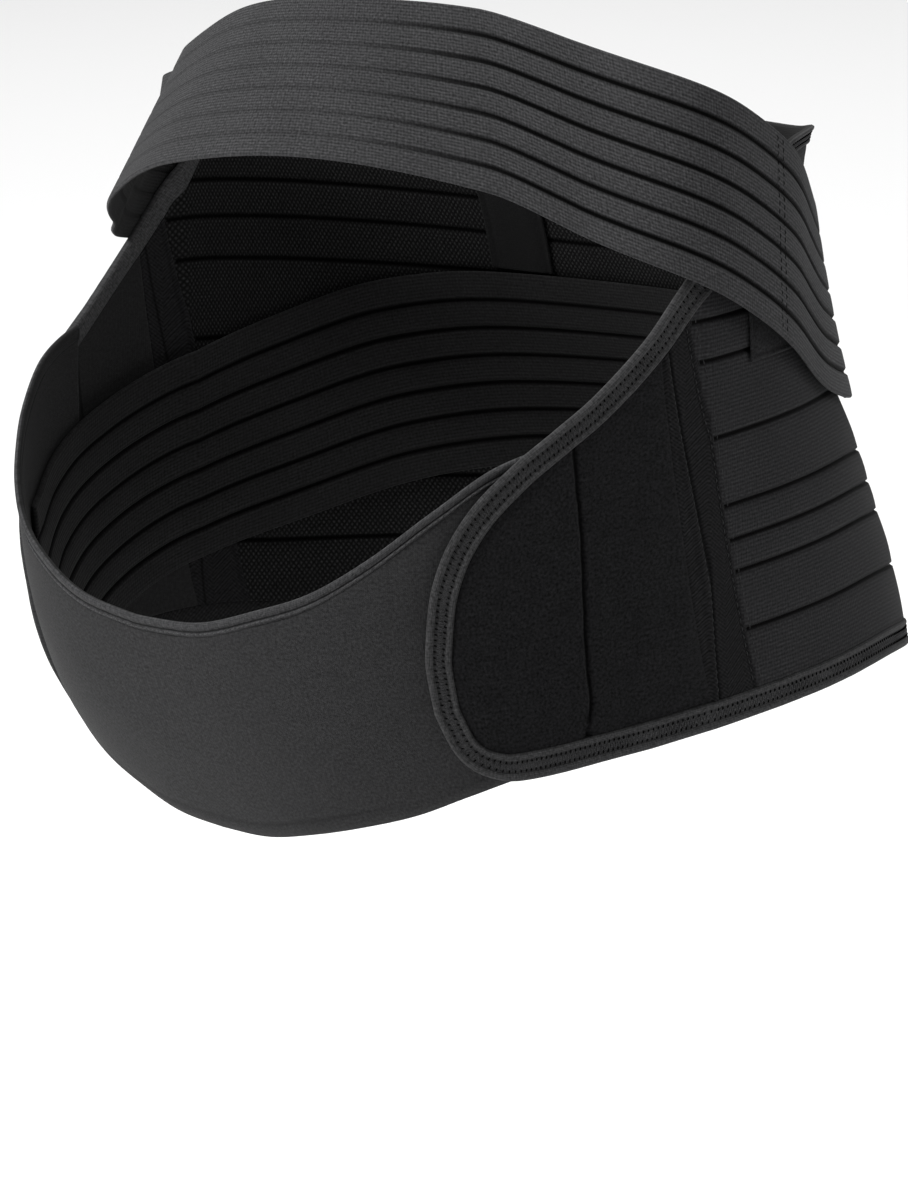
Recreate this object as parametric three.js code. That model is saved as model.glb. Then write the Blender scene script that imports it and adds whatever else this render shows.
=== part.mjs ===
// Maternity support belt, closed as it is worn and open where the body goes.
// Millimetres. +Z is up, the wearer's front is towards -Y and the wearer's left towards +X.
// The origin is the middle of the body space, level with the hem at the hips.
// Angles are in degrees round the body, 0 at the front and growing to the wearer's left.
import * as THREE from "three";

// Body space that the belt keeps
const hipHalfWidth = 156;
const backReach = 189;
const frontReach = 132;
const panelHeight = 223;
const frontSquareness = 2.45;
const backSquareness = 2.0;

// Cloth thicknesses and the clearances between layers and along seams
const elasticThickness = 2.2;
const wingThickness = 2.4;
const cradleThickness = 2.0;
const bandThickness = 2.0;
const lumbarThickness = 1.5;
const casingThickness = 1.2;
const patchThickness = 1.2;
const layerGap = 0.6;
const wingGap = 0.8;
const seamGap = 0.5;
const edgeGap = 0.8;

// Sewn edges
const bindingWidth = 11;
const topBindingWidth = 7;
const bindingRise = 1.2;
const cradleBindingWidth = 6;

// Grooves between woven strips, ribs and at sewn lines
const grooveWidth = 2.4;
const grooveDepth = 0.75;
const ribGrooveWidth = 1.8;
const ribGrooveDepth = 0.6;

// Bands
const bellyBandWidth = 68;
const bellyBandRibs = 7;
const bellyBandEnd = 150;
const bellyBandClearance = 8.0;
const bellyBandEdgeClearance = 12.6;
const topHipAngle = 76;
const lowHipAngle = 72;
const hipBlend = 18;
const lumbarBandWidth = 80;
const lumbarBandRibs = 7;
const lumbarBandEnd = 47;

// Back panel and tapes
const elasticStartAtHem = 98.2;
const elasticStartAtTop = 83.6;
const stripGrooves = [0.148, 0.256, 0.314, 0.377, 0.502, 0.641, 0.713, 0.776, 0.888];

// Casings beside the spine and patches that the belly band's ends hold on to
const casingAngle = 146;
const casingWidth = 26;
const patchAngle = 99;
const patchWidth = 44;
const patchLowEdge = 138;
const patchHeight = 46;

// Belly cradle
const cradleDepthBelowHem = 47;
const cradleEndAngle = 76;

// Mesh fineness
const chartScale = 2.65;
const columnStep = 10;
const backColumns = 10;
const lumbarEndColumns = 4;
const patchStep = 4;
const cradleStep = 7;
const rowStep = 12;
const rowGap = 0.3;

// Section of the body space at shares of the panel height, as shares of the reaches and of
// the front squareness above
const sectionRows = [
  { at: -0.25, width: 0.93, back: 1.02, front: 0.78, square: 0.82 },
  { at: -0.125, width: 0.972, back: 1.01, front: 0.9, square: 0.9 },
  { at: 0.0, width: 1.0, back: 1.0, front: 1.0, square: 0.97 },
  { at: 0.15, width: 0.997, back: 0.954, front: 1.08, square: 1 },
  { at: 0.25, width: 0.997, back: 0.903, front: 1.11, square: 1 },
  { at: 0.375, width: 0.999, back: 0.836, front: 1.124, square: 1 },
  { at: 0.515, width: 1.002, back: 0.744, front: 1.106, square: 1 },
  { at: 0.67, width: 1.006, back: 0.695, front: 1.045, square: 1 },
  { at: 0.82, width: 1.013, back: 0.634, front: 0.947, square: 1 },
  { at: 0.92, width: 1.022, back: 0.626, front: 0.86, square: 1 },
  { at: 1.0, width: 1.033, back: 0.662, front: 0.777, square: 1 },
];

// How far the hem and the top rim rise above a level line, as shares of the panel height.
// The belt sits a little lower at the wearer's right back, as worn cloth does.
const levelRows = [
  { angle: -180, hem: -0.065, top: -0.035 },
  { angle: -155, hem: -0.075, top: -0.045 },
  { angle: -136, hem: -0.08, top: -0.042 },
  { angle: -120, hem: -0.078, top: -0.028 },
  { angle: -105, hem: -0.072, top: -0.01 },
  { angle: -90, hem: -0.06, top: 0.0 },
  { angle: -74, hem: -0.07, top: 0.0 },
  { angle: -61, hem: -0.1, top: 0.0 },
  { angle: -50, hem: -0.12, top: 0.0 },
  { angle: 50, hem: -0.035, top: 0.0 },
  { angle: 61, hem: -0.03, top: 0.0 },
  { angle: 74, hem: -0.013, top: 0.0 },
  { angle: 90, hem: 0.004, top: 0.0 },
  { angle: 111, hem: 0.018, top: 0.0 },
  { angle: 128, hem: 0.019, top: 0.0 },
  { angle: 145, hem: -0.008, top: -0.012 },
  { angle: 162, hem: -0.045, top: -0.025 },
  { angle: 180, hem: -0.065, top: -0.035 },
];

// Inner edge of the sewn binding along one wing: heights as shares of the panel height
const wingTopRows = [
  { angle: 51.7, height: 0.205 },
  { angle: 53.4, height: 0.312 },
  { angle: 57.4, height: 0.407 },
  { angle: 63.7, height: 0.48 },
  { angle: 70, height: 0.53 },
  { angle: 76, height: 0.578 },
  { angle: 84, height: 0.665 },
  { angle: 90, height: 0.755 },
  { angle: 98, height: 0.865 },
  { angle: 107, height: 0.938 },
  { angle: 118, height: 0.965 },
  { angle: 180, height: 0.968 },
];
const wingLowRows = [
  { angle: 51.7, height: 0.125 },
  { angle: 53.2, height: 0.07 },
  { angle: 56.5, height: 0.045 },
  { angle: 61, height: 0.042 },
  { angle: 180, height: 0.042 },
];
const wingSeamRows = [
  { at: 0.0, angle: 90.2 },
  { at: 0.3, angle: 88.6 },
  { at: 0.64, angle: 84.0 },
  { at: 0.8, angle: 81.5 },
];
const wingGrooveAngle = 72.6;

// Top edge and bottom edge of the belly cradle, heights as shares of the panel height
const cradleRows = [
  { angle: 0, rim: 0.193, low: -0.205 },
  { angle: 10, rim: 0.207, low: -0.2 },
  { angle: 20, rim: 0.245, low: -0.175 },
  { angle: 30, rim: 0.288, low: -0.145 },
  { angle: 40, rim: 0.355, low: -0.112 },
  { angle: 50, rim: 0.437, low: -0.07 },
  { angle: 60, rim: 0.51, low: -0.035 },
  { angle: 76, rim: 0.56, low: -0.005 },
];

// Belly band: reach from the middle as shares of the hip half width, heights as shares of
// the panel height, for its top edge and its bottom edge. It sits higher on the left.
const bellyBandRows = [
  { angle: -150, topReach: 0.92, lowReach: 1.01, top: 0.765, low: 0.487 },
  { angle: -120, topReach: 1.0, lowReach: 1.04, top: 0.837, low: 0.548 },
  { angle: -105, topReach: 1.05, lowReach: 1.09, top: 0.925, low: 0.614 },
  { angle: -90, topReach: 0.99, lowReach: 1.1, top: 1.01, low: 0.686 },
  { angle: -75, topReach: 0.82, lowReach: 1.05, top: 1.045, low: 0.742 },
  { angle: -60, topReach: 0.7, lowReach: 0.91, top: 1.067, low: 0.786 },
  { angle: -30, topReach: 0.62, lowReach: 0.815, top: 1.117, low: 0.867 },
  { angle: 0, topReach: 0.56, lowReach: 0.8, top: 1.207, low: 0.959 },
  { angle: 30, topReach: 0.62, lowReach: 0.815, top: 1.245, low: 0.996 },
  { angle: 60, topReach: 0.7, lowReach: 0.86, top: 1.237, low: 0.943 },
  { angle: 75, topReach: 0.835, lowReach: 0.96, top: 1.19, low: 0.86 },
  { angle: 90, topReach: 1.0, lowReach: 1.06, top: 1.11, low: 0.764 },
  { angle: 105, topReach: 1.05, lowReach: 1.09, top: 0.99, low: 0.64 },
  { angle: 120, topReach: 1.0, lowReach: 1.04, top: 0.86, low: 0.527 },
  { angle: 150, topReach: 0.92, lowReach: 1.01, top: 0.749, low: 0.437 },
];

// Middle line of the lumbar band, heights as shares of the panel height
const lumbarRows = [
  { angle: 47, height: 0.19 },
  { angle: 62, height: 0.232 },
  { angle: 76, height: 0.262 },
  { angle: 90, height: 0.305 },
  { angle: 106, height: 0.368 },
  { angle: 122, height: 0.43 },
  { angle: 140, height: 0.463 },
  { angle: 180, height: 0.47 },
];

// Cubic interpolation of one column of a table, flat beyond its ends
function column(rows, key, name, value) {
  const last = rows.length - 1;
  if (value <= rows[0][key]) return rows[0][name];
  if (value >= rows[last][key]) return rows[last][name];
  let i = 0;
  while (rows[i + 1][key] < value) i += 1;
  const slope = (k) => {
    const a = rows[Math.max(k - 1, 0)];
    const b = rows[Math.min(k + 1, last)];
    return (b[name] - a[name]) / (b[key] - a[key]);
  };
  const low = rows[i];
  const high = rows[i + 1];
  const span = high[key] - low[key];
  const t = (value - low[key]) / span;
  const endPart = t * t * (3 - 2 * t);
  const lowTurn = t * (1 - t) * (1 - t) * span * slope(i);
  const highTurn = t * t * (t - 1) * span * slope(i + 1);
  return low[name] + (high[name] - low[name]) * endPart + lowTurn + highTurn;
}

function blend(value, from, to) {
  return THREE.MathUtils.smoothstep(value, from, to);
}

// Height above the origin of a chart height at an angle
function levelHeight(angle, height) {
  const share = height / panelHeight;
  const hem = column(levelRows, "angle", "hem", angle);
  const top = column(levelRows, "angle", "top", angle);
  return height + panelHeight * (hem + (top - hem) * share);
}

// Half width, reach and squareness of the section at a height, before or behind the middle
function sectionSizes(turn, z) {
  const share = (name) => column(sectionRows, "at", name, z / panelHeight);
  const width = hipHalfWidth * share("width");
  if (Math.cos(turn) > 0) {
    return { width, reach: frontReach * share("front"), power: frontSquareness * share("square") };
  }
  return { width, reach: backReach * share("back"), power: backSquareness };
}

// Point on the body space's surface, moved out by an offset along the section's normal
function sectionPoint(angle, z, offset) {
  const turn = THREE.MathUtils.degToRad(angle);
  const { width, reach, power } = sectionSizes(turn, z);
  const side = Math.sin(turn);
  const ahead = Math.cos(turn);
  const x = width * Math.sign(side) * Math.abs(side) ** (2 / power);
  const y = -reach * Math.sign(ahead) * Math.abs(ahead) ** (2 / power);
  const normal = new THREE.Vector2(
    Math.sign(x) * Math.abs(x / width) ** (power - 1) / width,
    Math.sign(y) * Math.abs(y / reach) ** (power - 1) / reach,
  ).normalize();
  return new THREE.Vector3(x + normal.x * offset, y + normal.y * offset, z);
}

function chartPoint(angle, height, offset) {
  return sectionPoint(angle, levelHeight(angle, height), offset);
}

// Layers, from the body outwards
const cradleOffset = bandThickness + layerGap;
const backOffset = bandThickness + layerGap;
const wingOffset = cradleOffset + cradleThickness + wingGap;
const patchOffset = backOffset + elasticThickness + layerGap;

// Inner face of the outer layer: outside the cradle at the front, next to the band behind
function shellOffset(angle) {
  return wingOffset + (backOffset - wingOffset) * blend(Math.abs(angle), 80, 100);
}

// Closed shell between two grids of points, row by row
function shellMesh(outer, inner) {
  const rows = outer.length;
  const columns = outer[0].length;
  const points = [...outer.flat(), ...inner.flat()];
  const index = [];
  const at = (face, row, col) => face * rows * columns + row * columns + col;
  const quad = (a, b, c, d) => index.push(a, b, c, a, c, d);
  for (let row = 0; row < rows - 1; row += 1) {
    for (let col = 0; col < columns - 1; col += 1) {
      quad(at(0, row, col), at(0, row, col + 1), at(0, row + 1, col + 1), at(0, row + 1, col));
      quad(at(1, row, col), at(1, row + 1, col), at(1, row + 1, col + 1), at(1, row, col + 1));
    }
  }
  for (let col = 0; col < columns - 1; col += 1) {
    const top = rows - 1;
    quad(at(0, 0, col + 1), at(0, 0, col), at(1, 0, col), at(1, 0, col + 1));
    quad(at(0, top, col), at(0, top, col + 1), at(1, top, col + 1), at(1, top, col));
  }
  for (let row = 0; row < rows - 1; row += 1) {
    const end = columns - 1;
    quad(at(0, row, 0), at(0, row + 1, 0), at(1, row + 1, 0), at(1, row, 0));
    quad(at(0, row + 1, end), at(0, row, end), at(1, row, end), at(1, row + 1, end));
  }
  return geometryFrom(points, index);
}

// Closed ring or capped strip swept through a list of sections with equal point counts
function sweptMesh(sections, closed) {
  const count = sections[0].length;
  const index = [];
  const steps = closed ? sections.length : sections.length - 1;
  for (let step = 0; step < steps; step += 1) {
    const next = (step + 1) % sections.length;
    for (let k = 0; k < count; k += 1) {
      const a = step * count + k;
      const b = step * count + ((k + 1) % count);
      const c = next * count + ((k + 1) % count);
      const d = next * count + k;
      index.push(a, b, c, a, c, d);
    }
  }
  if (!closed) {
    const end = (sections.length - 1) * count;
    for (let k = 1; k < count - 1; k += 1) {
      index.push(0, k + 1, k);
      index.push(end, end + k, end + k + 1);
    }
  }
  return geometryFrom(sections.flat(), index);
}

// Geometry whose faces point out, whichever way its points were listed
function geometryFrom(points, index) {
  const geometry = new THREE.BufferGeometry();
  const flat = points.flatMap((point) => [point.x, point.y, point.z]);
  let volume = 0;
  for (let i = 0; i < index.length; i += 3) {
    const [a, b, c] = [points[index[i]], points[index[i + 1]], points[index[i + 2]]];
    volume += a.dot(b.clone().cross(c));
  }
  const facing = volume > 0 ? index : [...index].reverse();
  geometry.setAttribute("position", new THREE.Float32BufferAttribute(flat, 3));
  geometry.setIndex(facing);
  geometry.computeVertexNormals();
  return geometry;
}

// Positions from 0 to 1 across a piece with three lines at each groove: rim, floor, rim
function groovedLines(grooves, span, width) {
  const lines = [{ at: 0, depth: 0 }];
  for (const groove of grooves) {
    lines.push({ at: groove - width / (2 * span), depth: 0 });
    lines.push({ at: groove, depth: 1 });
    lines.push({ at: groove + width / (2 * span), depth: 0 });
  }
  lines.push({ at: 1, depth: 0 });
  return lines;
}

// Whole grids of the outer and inner face: place(u, v, side) gives one point
function gridShell(us, vs, place) {
  const grid = (side) => vs.map((v) => us.map((u) => place(u, v, side)));
  return shellMesh(grid(1), grid(0));
}

function evenSteps(from, to, step) {
  const count = Math.max(1, Math.round(Math.abs(to - from) / step));
  return Array.from({ length: count + 1 }, (_, i) => from + ((to - from) * i) / count);
}

// Inner edges of the binding, as chart heights
function bindingTop(angle) {
  return panelHeight * column(wingTopRows, "angle", "height", Math.abs(angle));
}

function bindingLow(angle) {
  return panelHeight * column(wingLowRows, "angle", "height", Math.abs(angle));
}

function wingSeam(height) {
  return column(wingSeamRows, "at", "angle", height / panelHeight);
}

function elasticStart(height) {
  return elasticStartAtHem + (elasticStartAtTop - elasticStartAtHem) * (height / panelHeight);
}

// Slanted vertical line of a piece at a share of the way between two edge lines
function slantLine(share, startLine, endLine, edge) {
  let height = edge(90);
  let angle = 90;
  for (let pass = 0; pass < 8; pass += 1) {
    angle = startLine(height) + (endLine(height) - startLine(height)) * share;
    height = edge(angle);
  }
  return { angle, height };
}

const tipAngle = wingTopRows[0].angle;
const wingColumns = [0, 0.04, 0.1, 0.19, 0.31, 0.45, 0.57, 0.6, 0.63, 0.76, 0.9, 1];
const wingGrooveColumn = 7;

// Shares of the wing's columns put so that the groove's floor lies on its own angle
function wingLine(share, edge) {
  return slantLine(share, () => tipAngle, wingSeam, edge);
}

// Patch with slanted columns between the two inner edges of the binding
function patchPoint(line, v, inset, offset, mirror) {
  const { low, high } = line;
  const span = high.height - low.height;
  const share = (seamGap + (span - seamGap - edgeGap) * v) / span;
  const height = low.height + span * share;
  const angle = low.angle + (high.angle - low.angle) * share + inset / chartScale;
  return chartPoint(mirror * angle, height, offset(mirror * angle));
}

// Wing: smooth cloth with one sewn vertical groove
function wingGeometry(mirror) {
  const rows = [0, 0.12, 0.3, 0.5, 0.7, 0.88, 1];
  const grooveShare = (wingGrooveAngle - tipAngle) / (wingSeam(panelHeight * 0.3) - tipAngle);
  const shift = grooveShare - wingColumns[wingGrooveColumn];
  const columns = wingColumns.map((share, i) => {
    const near = Math.abs(i - wingGrooveColumn) <= 1;
    return near ? share + shift : share;
  });
  const lines = columns.map((share) => ({
    low: wingLine(share, bindingLow),
    high: wingLine(share, bindingTop),
  }));
  return gridShell(lines.map((_, i) => i), rows, (i, v, side) => {
    const inset = i === 0 ? seamGap : i === lines.length - 1 ? -seamGap : 0;
    const dip = i === wingGrooveColumn ? grooveDepth : 0;
    const thick = side === 1 ? wingThickness - dip : 0;
    return patchPoint(lines[i], v, inset, (angle) => shellOffset(angle) + thick, mirror);
  });
}

// Side tape: strip between the wing's seam and the elastic
function tapeGeometry(mirror) {
  const rows = evenSteps(0, 1, 1 / 8);
  const shares = [0, 0.28, 0.5, 0.72, 1];
  const lines = shares.map((share) => ({
    low: slantLine(share, wingSeam, elasticStart, bindingLow),
    high: slantLine(share, wingSeam, elasticStart, bindingTop),
  }));
  return gridShell(shares.map((_, i) => i), rows, (i, v, side) => {
    const inset = i === 0 ? seamGap : i === shares.length - 1 ? -seamGap : 0;
    const dip = i === 1 ? grooveDepth : 0;
    const thick = side === 1 ? elasticThickness - dip : 0;
    return patchPoint(lines[i], v, inset, (angle) => shellOffset(angle) + thick, mirror);
  });
}

// Back panel: woven strips with grooves on both faces, from one tape round to the other
function backPanelGeometry() {
  const rows = groovedLines(stripGrooves, panelHeight, grooveWidth);
  const shares = evenSteps(0, 1, 1 / backColumns);
  const side = shares.map((share) => backColumn(share, rows));
  const right = side.map((points) => points.map((point) => ({ ...point, angle: -point.angle })));
  const all = [...side, ...right.slice(0, -1).reverse()];
  return gridShell(all.map((_, i) => i), rows.map((_, i) => i), (i, row, face) => {
    const { angle, height, depth } = all[i][row];
    const offset = shellOffset(angle) + (face === 1 ? elasticThickness - depth : depth);
    return chartPoint(angle, height, offset);
  });
}

// One column of the back panel; the rows that meet the sloping top edge close up below it
function backColumn(share, rows) {
  const back = () => 180;
  const floor = slantLine(share, elasticStart, back, bindingLow).height + seamGap;
  const ceiling = slantLine(share, elasticStart, back, bindingTop).height - edgeGap;
  const points = [];
  let limit = ceiling;
  for (let i = rows.length - 1; i >= 0; i -= 1) {
    const wanted = panelHeight * rows[i].at;
    const height = Math.max(Math.min(wanted, limit), floor + i * rowGap);
    const free = height === wanted && height < ceiling - grooveWidth;
    const depth = free ? rows[i].depth * grooveDepth : 0;
    const start = elasticStart(height) + (seamGap / chartScale) * (1 - share);
    points.unshift({ angle: start + (180 - start) * share, height, depth });
    limit = height - rowGap;
  }
  return points;
}

// Sewn binding: one closed ring round both wings, along the hem and along the top rim
const bindingProfile = [
  { across: 0.0, rise: 0.2 },
  { across: 0.12, rise: 1.0 },
  { across: 0.3, rise: 0.9 },
  { across: 0.48, rise: 0.3 },
  { across: 0.78, rise: 0.3 },
  { across: 0.9, rise: 0.8 },
  { across: 1.0, rise: 0.2 },
];

function bindingWidthAt(angle, isTop) {
  const narrow = isTop ? blend(Math.abs(angle), 92, 112) : 0;
  return bindingWidth + (topBindingWidth - bindingWidth) * narrow;
}

function bindingGeometry() {
  const tapeShares = [0.25, 0.5, 0.75, 1];
  const backShares = evenSteps(0, 1, 1 / backColumns).slice(1);
  const run = (edge) => [
    ...wingColumns.map((share) => wingLine(share, edge)),
    ...tapeShares.map((share) => slantLine(share, wingSeam, elasticStart, edge)),
    ...backShares.map((share) => slantLine(share, elasticStart, () => 180, edge)),
  ];
  const low = run(bindingLow).map((point) => ({ ...point, isTop: false }));
  const top = run(bindingTop).map((point) => ({ ...point, isTop: true }));
  const tip = [0.25, 0.5, 0.75].map((share) => ({
    angle: tipAngle,
    height: top[0].height + (low[0].height - top[0].height) * share,
    isTop: false,
  }));
  const left = [...top.slice().reverse(), ...tip, ...low];
  const mirrored = (point) => ({ ...point, angle: -point.angle });
  const right = left.map(mirrored).reverse();
  const path = [...left.slice(0, -1), ...right.slice(0, -1)];
  return sweptMesh(path.map((point, i) => bindingSection(path, i, point)), true);
}

// One section of the binding: outer face across the profile, then the flat inner face
function bindingSection(path, i, point) {
  const count = path.length;
  const before = path[(i + count - 1) % count];
  const after = path[(i + 1) % count];
  const step = (from, to) => {
    let turn = to.angle - from.angle;
    if (turn > 180) turn -= 360;
    if (turn < -180) turn += 360;
    return new THREE.Vector2(turn * chartScale, to.height - from.height);
  };
  const along = step(before, point).normalize().add(step(point, after).normalize()).normalize();
  const outward = new THREE.Vector2(along.y, -along.x);
  const width = bindingWidthAt(point.angle, point.isTop);
  const place = (across, offset) => {
    const reach = width * (1 - across);
    const angle = point.angle + (outward.x * reach) / chartScale;
    return chartPoint(angle, point.height + outward.y * reach, offset(angle));
  };
  const outer = bindingProfile.map(({ across, rise }) =>
    place(across, (angle) => shellOffset(angle) + wingThickness + bindingRise * rise));
  const inner = [1, 0.5, 0].map((across) => place(across, (angle) => shellOffset(angle)));
  return [...outer, ...inner];
}

// Belly cradle: one smooth bowl of cloth whose ends lie inside both wings
function cradleGeometry() {
  const columns = evenSteps(-cradleEndAngle, cradleEndAngle, cradleStep);
  const rows = [0, 0.1, 0.22, 0.36, 0.5, 0.64, 0.78, 0.9, 1];
  return gridShell(columns, rows, (angle, v, side) => {
    const low = cradleHeight(angle, "low");
    const high = cradleHeight(angle, "rim") - cradleBindingWidth - seamGap;
    const offset = cradleOffset + (side === 1 ? cradleThickness : 0);
    return sectionPoint(angle, low + (high - low) * v, offset);
  });
}

function cradleHeight(angle, edge) {
  const share = column(cradleRows, "angle", edge, Math.abs(angle));
  const depth = -cradleDepthBelowHem / cradleRows[0].low;
  return share < 0 ? share * depth : share * panelHeight;
}

// Rim binding along the top of the cradle
function cradleBindingGeometry() {
  const columns = evenSteps(-cradleEndAngle, cradleEndAngle, cradleStep);
  const profile = [
    { across: 0.0, rise: 0.1 },
    { across: 0.45, rise: -0.1 },
    { across: 0.7, rise: 0.5 },
    { across: 1.0, rise: 0.2 },
  ];
  const sections = columns.map((angle) => {
    const rim = cradleHeight(angle, "rim");
    const place = (across, offset) =>
      sectionPoint(angle, rim - cradleBindingWidth * (1 - across), cradleOffset + offset);
    return [
      ...profile.map(({ across, rise }) => place(across, cradleThickness + rise)),
      ...[1, 0].map((across) => place(across, 0)),
    ];
  });
  return sweptMesh(sections, false);
}

// Even ribs across a band: groove positions as shares of its width
function ribGrooves(ribs) {
  return Array.from({ length: ribs - 1 }, (_, i) => (i + 1) / ribs);
}

// Belly band: over the top of the belly, down over both hips and on to the back panel
function bellyBandGeometry() {
  const rows = groovedLines(ribGrooves(bellyBandRibs), bellyBandWidth, ribGrooveWidth);
  const columns = evenSteps(-bellyBandEnd, bellyBandEnd, columnStep);
  return gridShell(columns, rows, (angle, row, side) => {
    const dip = row.depth * ribGrooveDepth;
    return bellyBandPoint(angle, row.at, side === 1 ? bandThickness - dip : dip);
  });
}

// Reach of the body space straight out from the middle at a true angle
function sectionReach(turn, z) {
  const { width, reach, power } = sectionSizes(turn, z);
  const side = Math.abs(Math.sin(turn) / width) ** power;
  const ahead = Math.abs(Math.cos(turn) / reach) ** power;
  return (side + ahead) ** (-1 / power);
}

// Edge of the belly band: free over the belly, close outside the panel over the hips
function bellyBandEdge(angle, reachName, heightName) {
  const turn = THREE.MathUtils.degToRad(angle);
  const z = panelHeight * column(bellyBandRows, "angle", heightName, angle);
  const free = hipHalfWidth * column(bellyBandRows, "angle", reachName, angle);
  const behind = blend(Math.abs(angle), 98, 114);
  const clearance = bellyBandEdgeClearance + (bellyBandClearance - bellyBandEdgeClearance) * behind;
  const close = sectionReach(turn, z) + clearance;
  const fromAngle = reachName === "topReach" ? topHipAngle : lowHipAngle;
  const reach = free + (close - free) * blend(Math.abs(angle), fromAngle, fromAngle + hipBlend);
  return new THREE.Vector3(reach * Math.sin(turn), -reach * Math.cos(turn), z);
}

function bellyBandPoint(angle, share, offset) {
  const low = bellyBandEdge(angle, "lowReach", "low");
  const top = bellyBandEdge(angle, "topReach", "top");
  const ahead = bellyBandEdge(angle + 1, "lowReach", "low").sub(bellyBandEdge(angle - 1, "lowReach", "low"));
  const normal = ahead.cross(top.clone().sub(low)).normalize();
  return low.lerp(top, share).addScaledVector(normal, offset);
}

// Lumbar band: ribbed elastic inside the back panel, lower towards both ends. Its columns
// run along the back panel's own, so the two stay evenly apart.
function lumbarBandGeometry() {
  const rows = groovedLines(ribGrooves(lumbarBandRibs), lumbarBandWidth, ribGrooveWidth);
  const front = evenSteps(-1, 0, 1 / lumbarEndColumns).slice(0, -1);
  const left = [...front, ...evenSteps(0, 1, 1 / backColumns)];
  const columns = [
    ...left.map((share) => ({ share, mirror: 1 })),
    ...left.slice(0, -1).reverse().map((share) => ({ share, mirror: -1 })),
  ];
  return gridShell(columns, rows, ({ share, mirror }, row, side) => {
    const { angle, height } = lumbarBandPlace(share, lumbarBandWidth * (row.at - 0.5));
    const dip = row.depth * ribGrooveDepth;
    return chartPoint(mirror * angle, height, side === 1 ? lumbarThickness - dip : dip);
  });
}

function lumbarBandPlace(share, aside) {
  let height = 0;
  let angle = 90;
  for (let pass = 0; pass < 6; pass += 1) {
    height = panelHeight * column(lumbarRows, "angle", "height", angle) + aside;
    const start = elasticStart(height);
    const reach = share < 0 ? start - lumbarBandEnd : 180 - start;
    angle = start + reach * share;
  }
  return { angle, height };
}

// Casing: narrow sewn strip on the back panel's inner face, above the lumbar band
function casingGeometry(mirror) {
  const half = casingWidth / chartScale / 2;
  const columns = evenSteps(casingAngle - half, casingAngle + half, half);
  const middle = panelHeight * column(lumbarRows, "angle", "height", casingAngle);
  const low = middle + lumbarBandWidth / 2 + 2 * layerGap;
  const high = bindingTop(180) - seamGap;
  return gridShell(columns, evenSteps(low, high, rowStep), (angle, height, side) => {
    const offset = backOffset - layerGap - (side === 1 ? 0 : casingThickness);
    return chartPoint(mirror * angle, height, offset);
  });
}

// Loop patch on the outside of the back panel, under the belly band's end
function patchGeometry(mirror) {
  const columns = evenSteps(patchAngle, patchAngle + patchWidth / chartScale, patchStep);
  const rows = evenSteps(patchLowEdge, patchLowEdge + patchHeight, rowStep);
  return gridShell(columns, rows, (angle, height, side) =>
    chartPoint(mirror * angle, height, patchOffset + (side === 1 ? patchThickness : 0)));
}

function cloth(color, roughness) {
  return new THREE.MeshStandardMaterial({ color, roughness, metalness: 0 });
}

const plush = cloth(0x1f1f21, 0.95);
const smooth = cloth(0x333336, 0.85);
const elastic = cloth(0x2b2b2d, 0.9);
const ribbed = cloth(0x3a3a3c, 0.88);
const twill = cloth(0x262628, 0.9);

const belt = new THREE.Group();

function add(name, geometry, material) {
  const mesh = new THREE.Mesh(geometry, material);
  mesh.name = name;
  belt.add(mesh);
}

add("back_panel", backPanelGeometry(), elastic);
for (const [side, mirror] of [["left", 1], ["right", -1]]) {
  add(`side_tape_${side}`, tapeGeometry(mirror), twill);
  add(`wing_${side}`, wingGeometry(mirror), plush);
  add(`casing_${side}`, casingGeometry(mirror), twill);
  add(`loop_patch_${side}`, patchGeometry(mirror), plush);
}
add("edge_binding", bindingGeometry(), twill);
add("front_panel", cradleGeometry(), smooth);
add("front_binding", cradleBindingGeometry(), smooth);
add("belly_band", bellyBandGeometry(), ribbed);
add("lumbar_band", lumbarBandGeometry(), ribbed);

export default belt;
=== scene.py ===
# Maternity support belt, closed as it is worn: cloth, elastic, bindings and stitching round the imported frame.
# Shapes are worked out in millimetres and angles in degrees, as in the part, and become metres in mesh().
# +Z is up, the wearer's front is towards -Y, and angles grow from the front to the wearer's left, +X.
import math

import bpy
import numpy as np
from mathutils import Matrix, Vector


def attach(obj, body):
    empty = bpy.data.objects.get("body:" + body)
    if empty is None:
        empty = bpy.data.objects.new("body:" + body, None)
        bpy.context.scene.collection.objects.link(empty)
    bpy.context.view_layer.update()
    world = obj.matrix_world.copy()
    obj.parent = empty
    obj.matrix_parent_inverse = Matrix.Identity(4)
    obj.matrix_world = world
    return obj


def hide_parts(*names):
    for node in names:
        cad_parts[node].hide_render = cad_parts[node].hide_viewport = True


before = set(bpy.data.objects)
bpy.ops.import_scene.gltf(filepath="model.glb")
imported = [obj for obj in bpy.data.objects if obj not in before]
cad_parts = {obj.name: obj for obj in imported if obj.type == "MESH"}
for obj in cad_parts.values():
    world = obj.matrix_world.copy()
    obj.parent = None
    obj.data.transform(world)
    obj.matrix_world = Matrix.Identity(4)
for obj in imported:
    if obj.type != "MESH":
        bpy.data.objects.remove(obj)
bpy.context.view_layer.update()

MM = 0.001
rng = np.random.default_rng(7)

# Body space that the belt keeps
HIP_HALF_WIDTH = 156
BACK_REACH = 189
FRONT_REACH = 132
PANEL_HEIGHT = 223
FRONT_SQUARENESS = 2.45
BACK_SQUARENESS = 2.0

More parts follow.
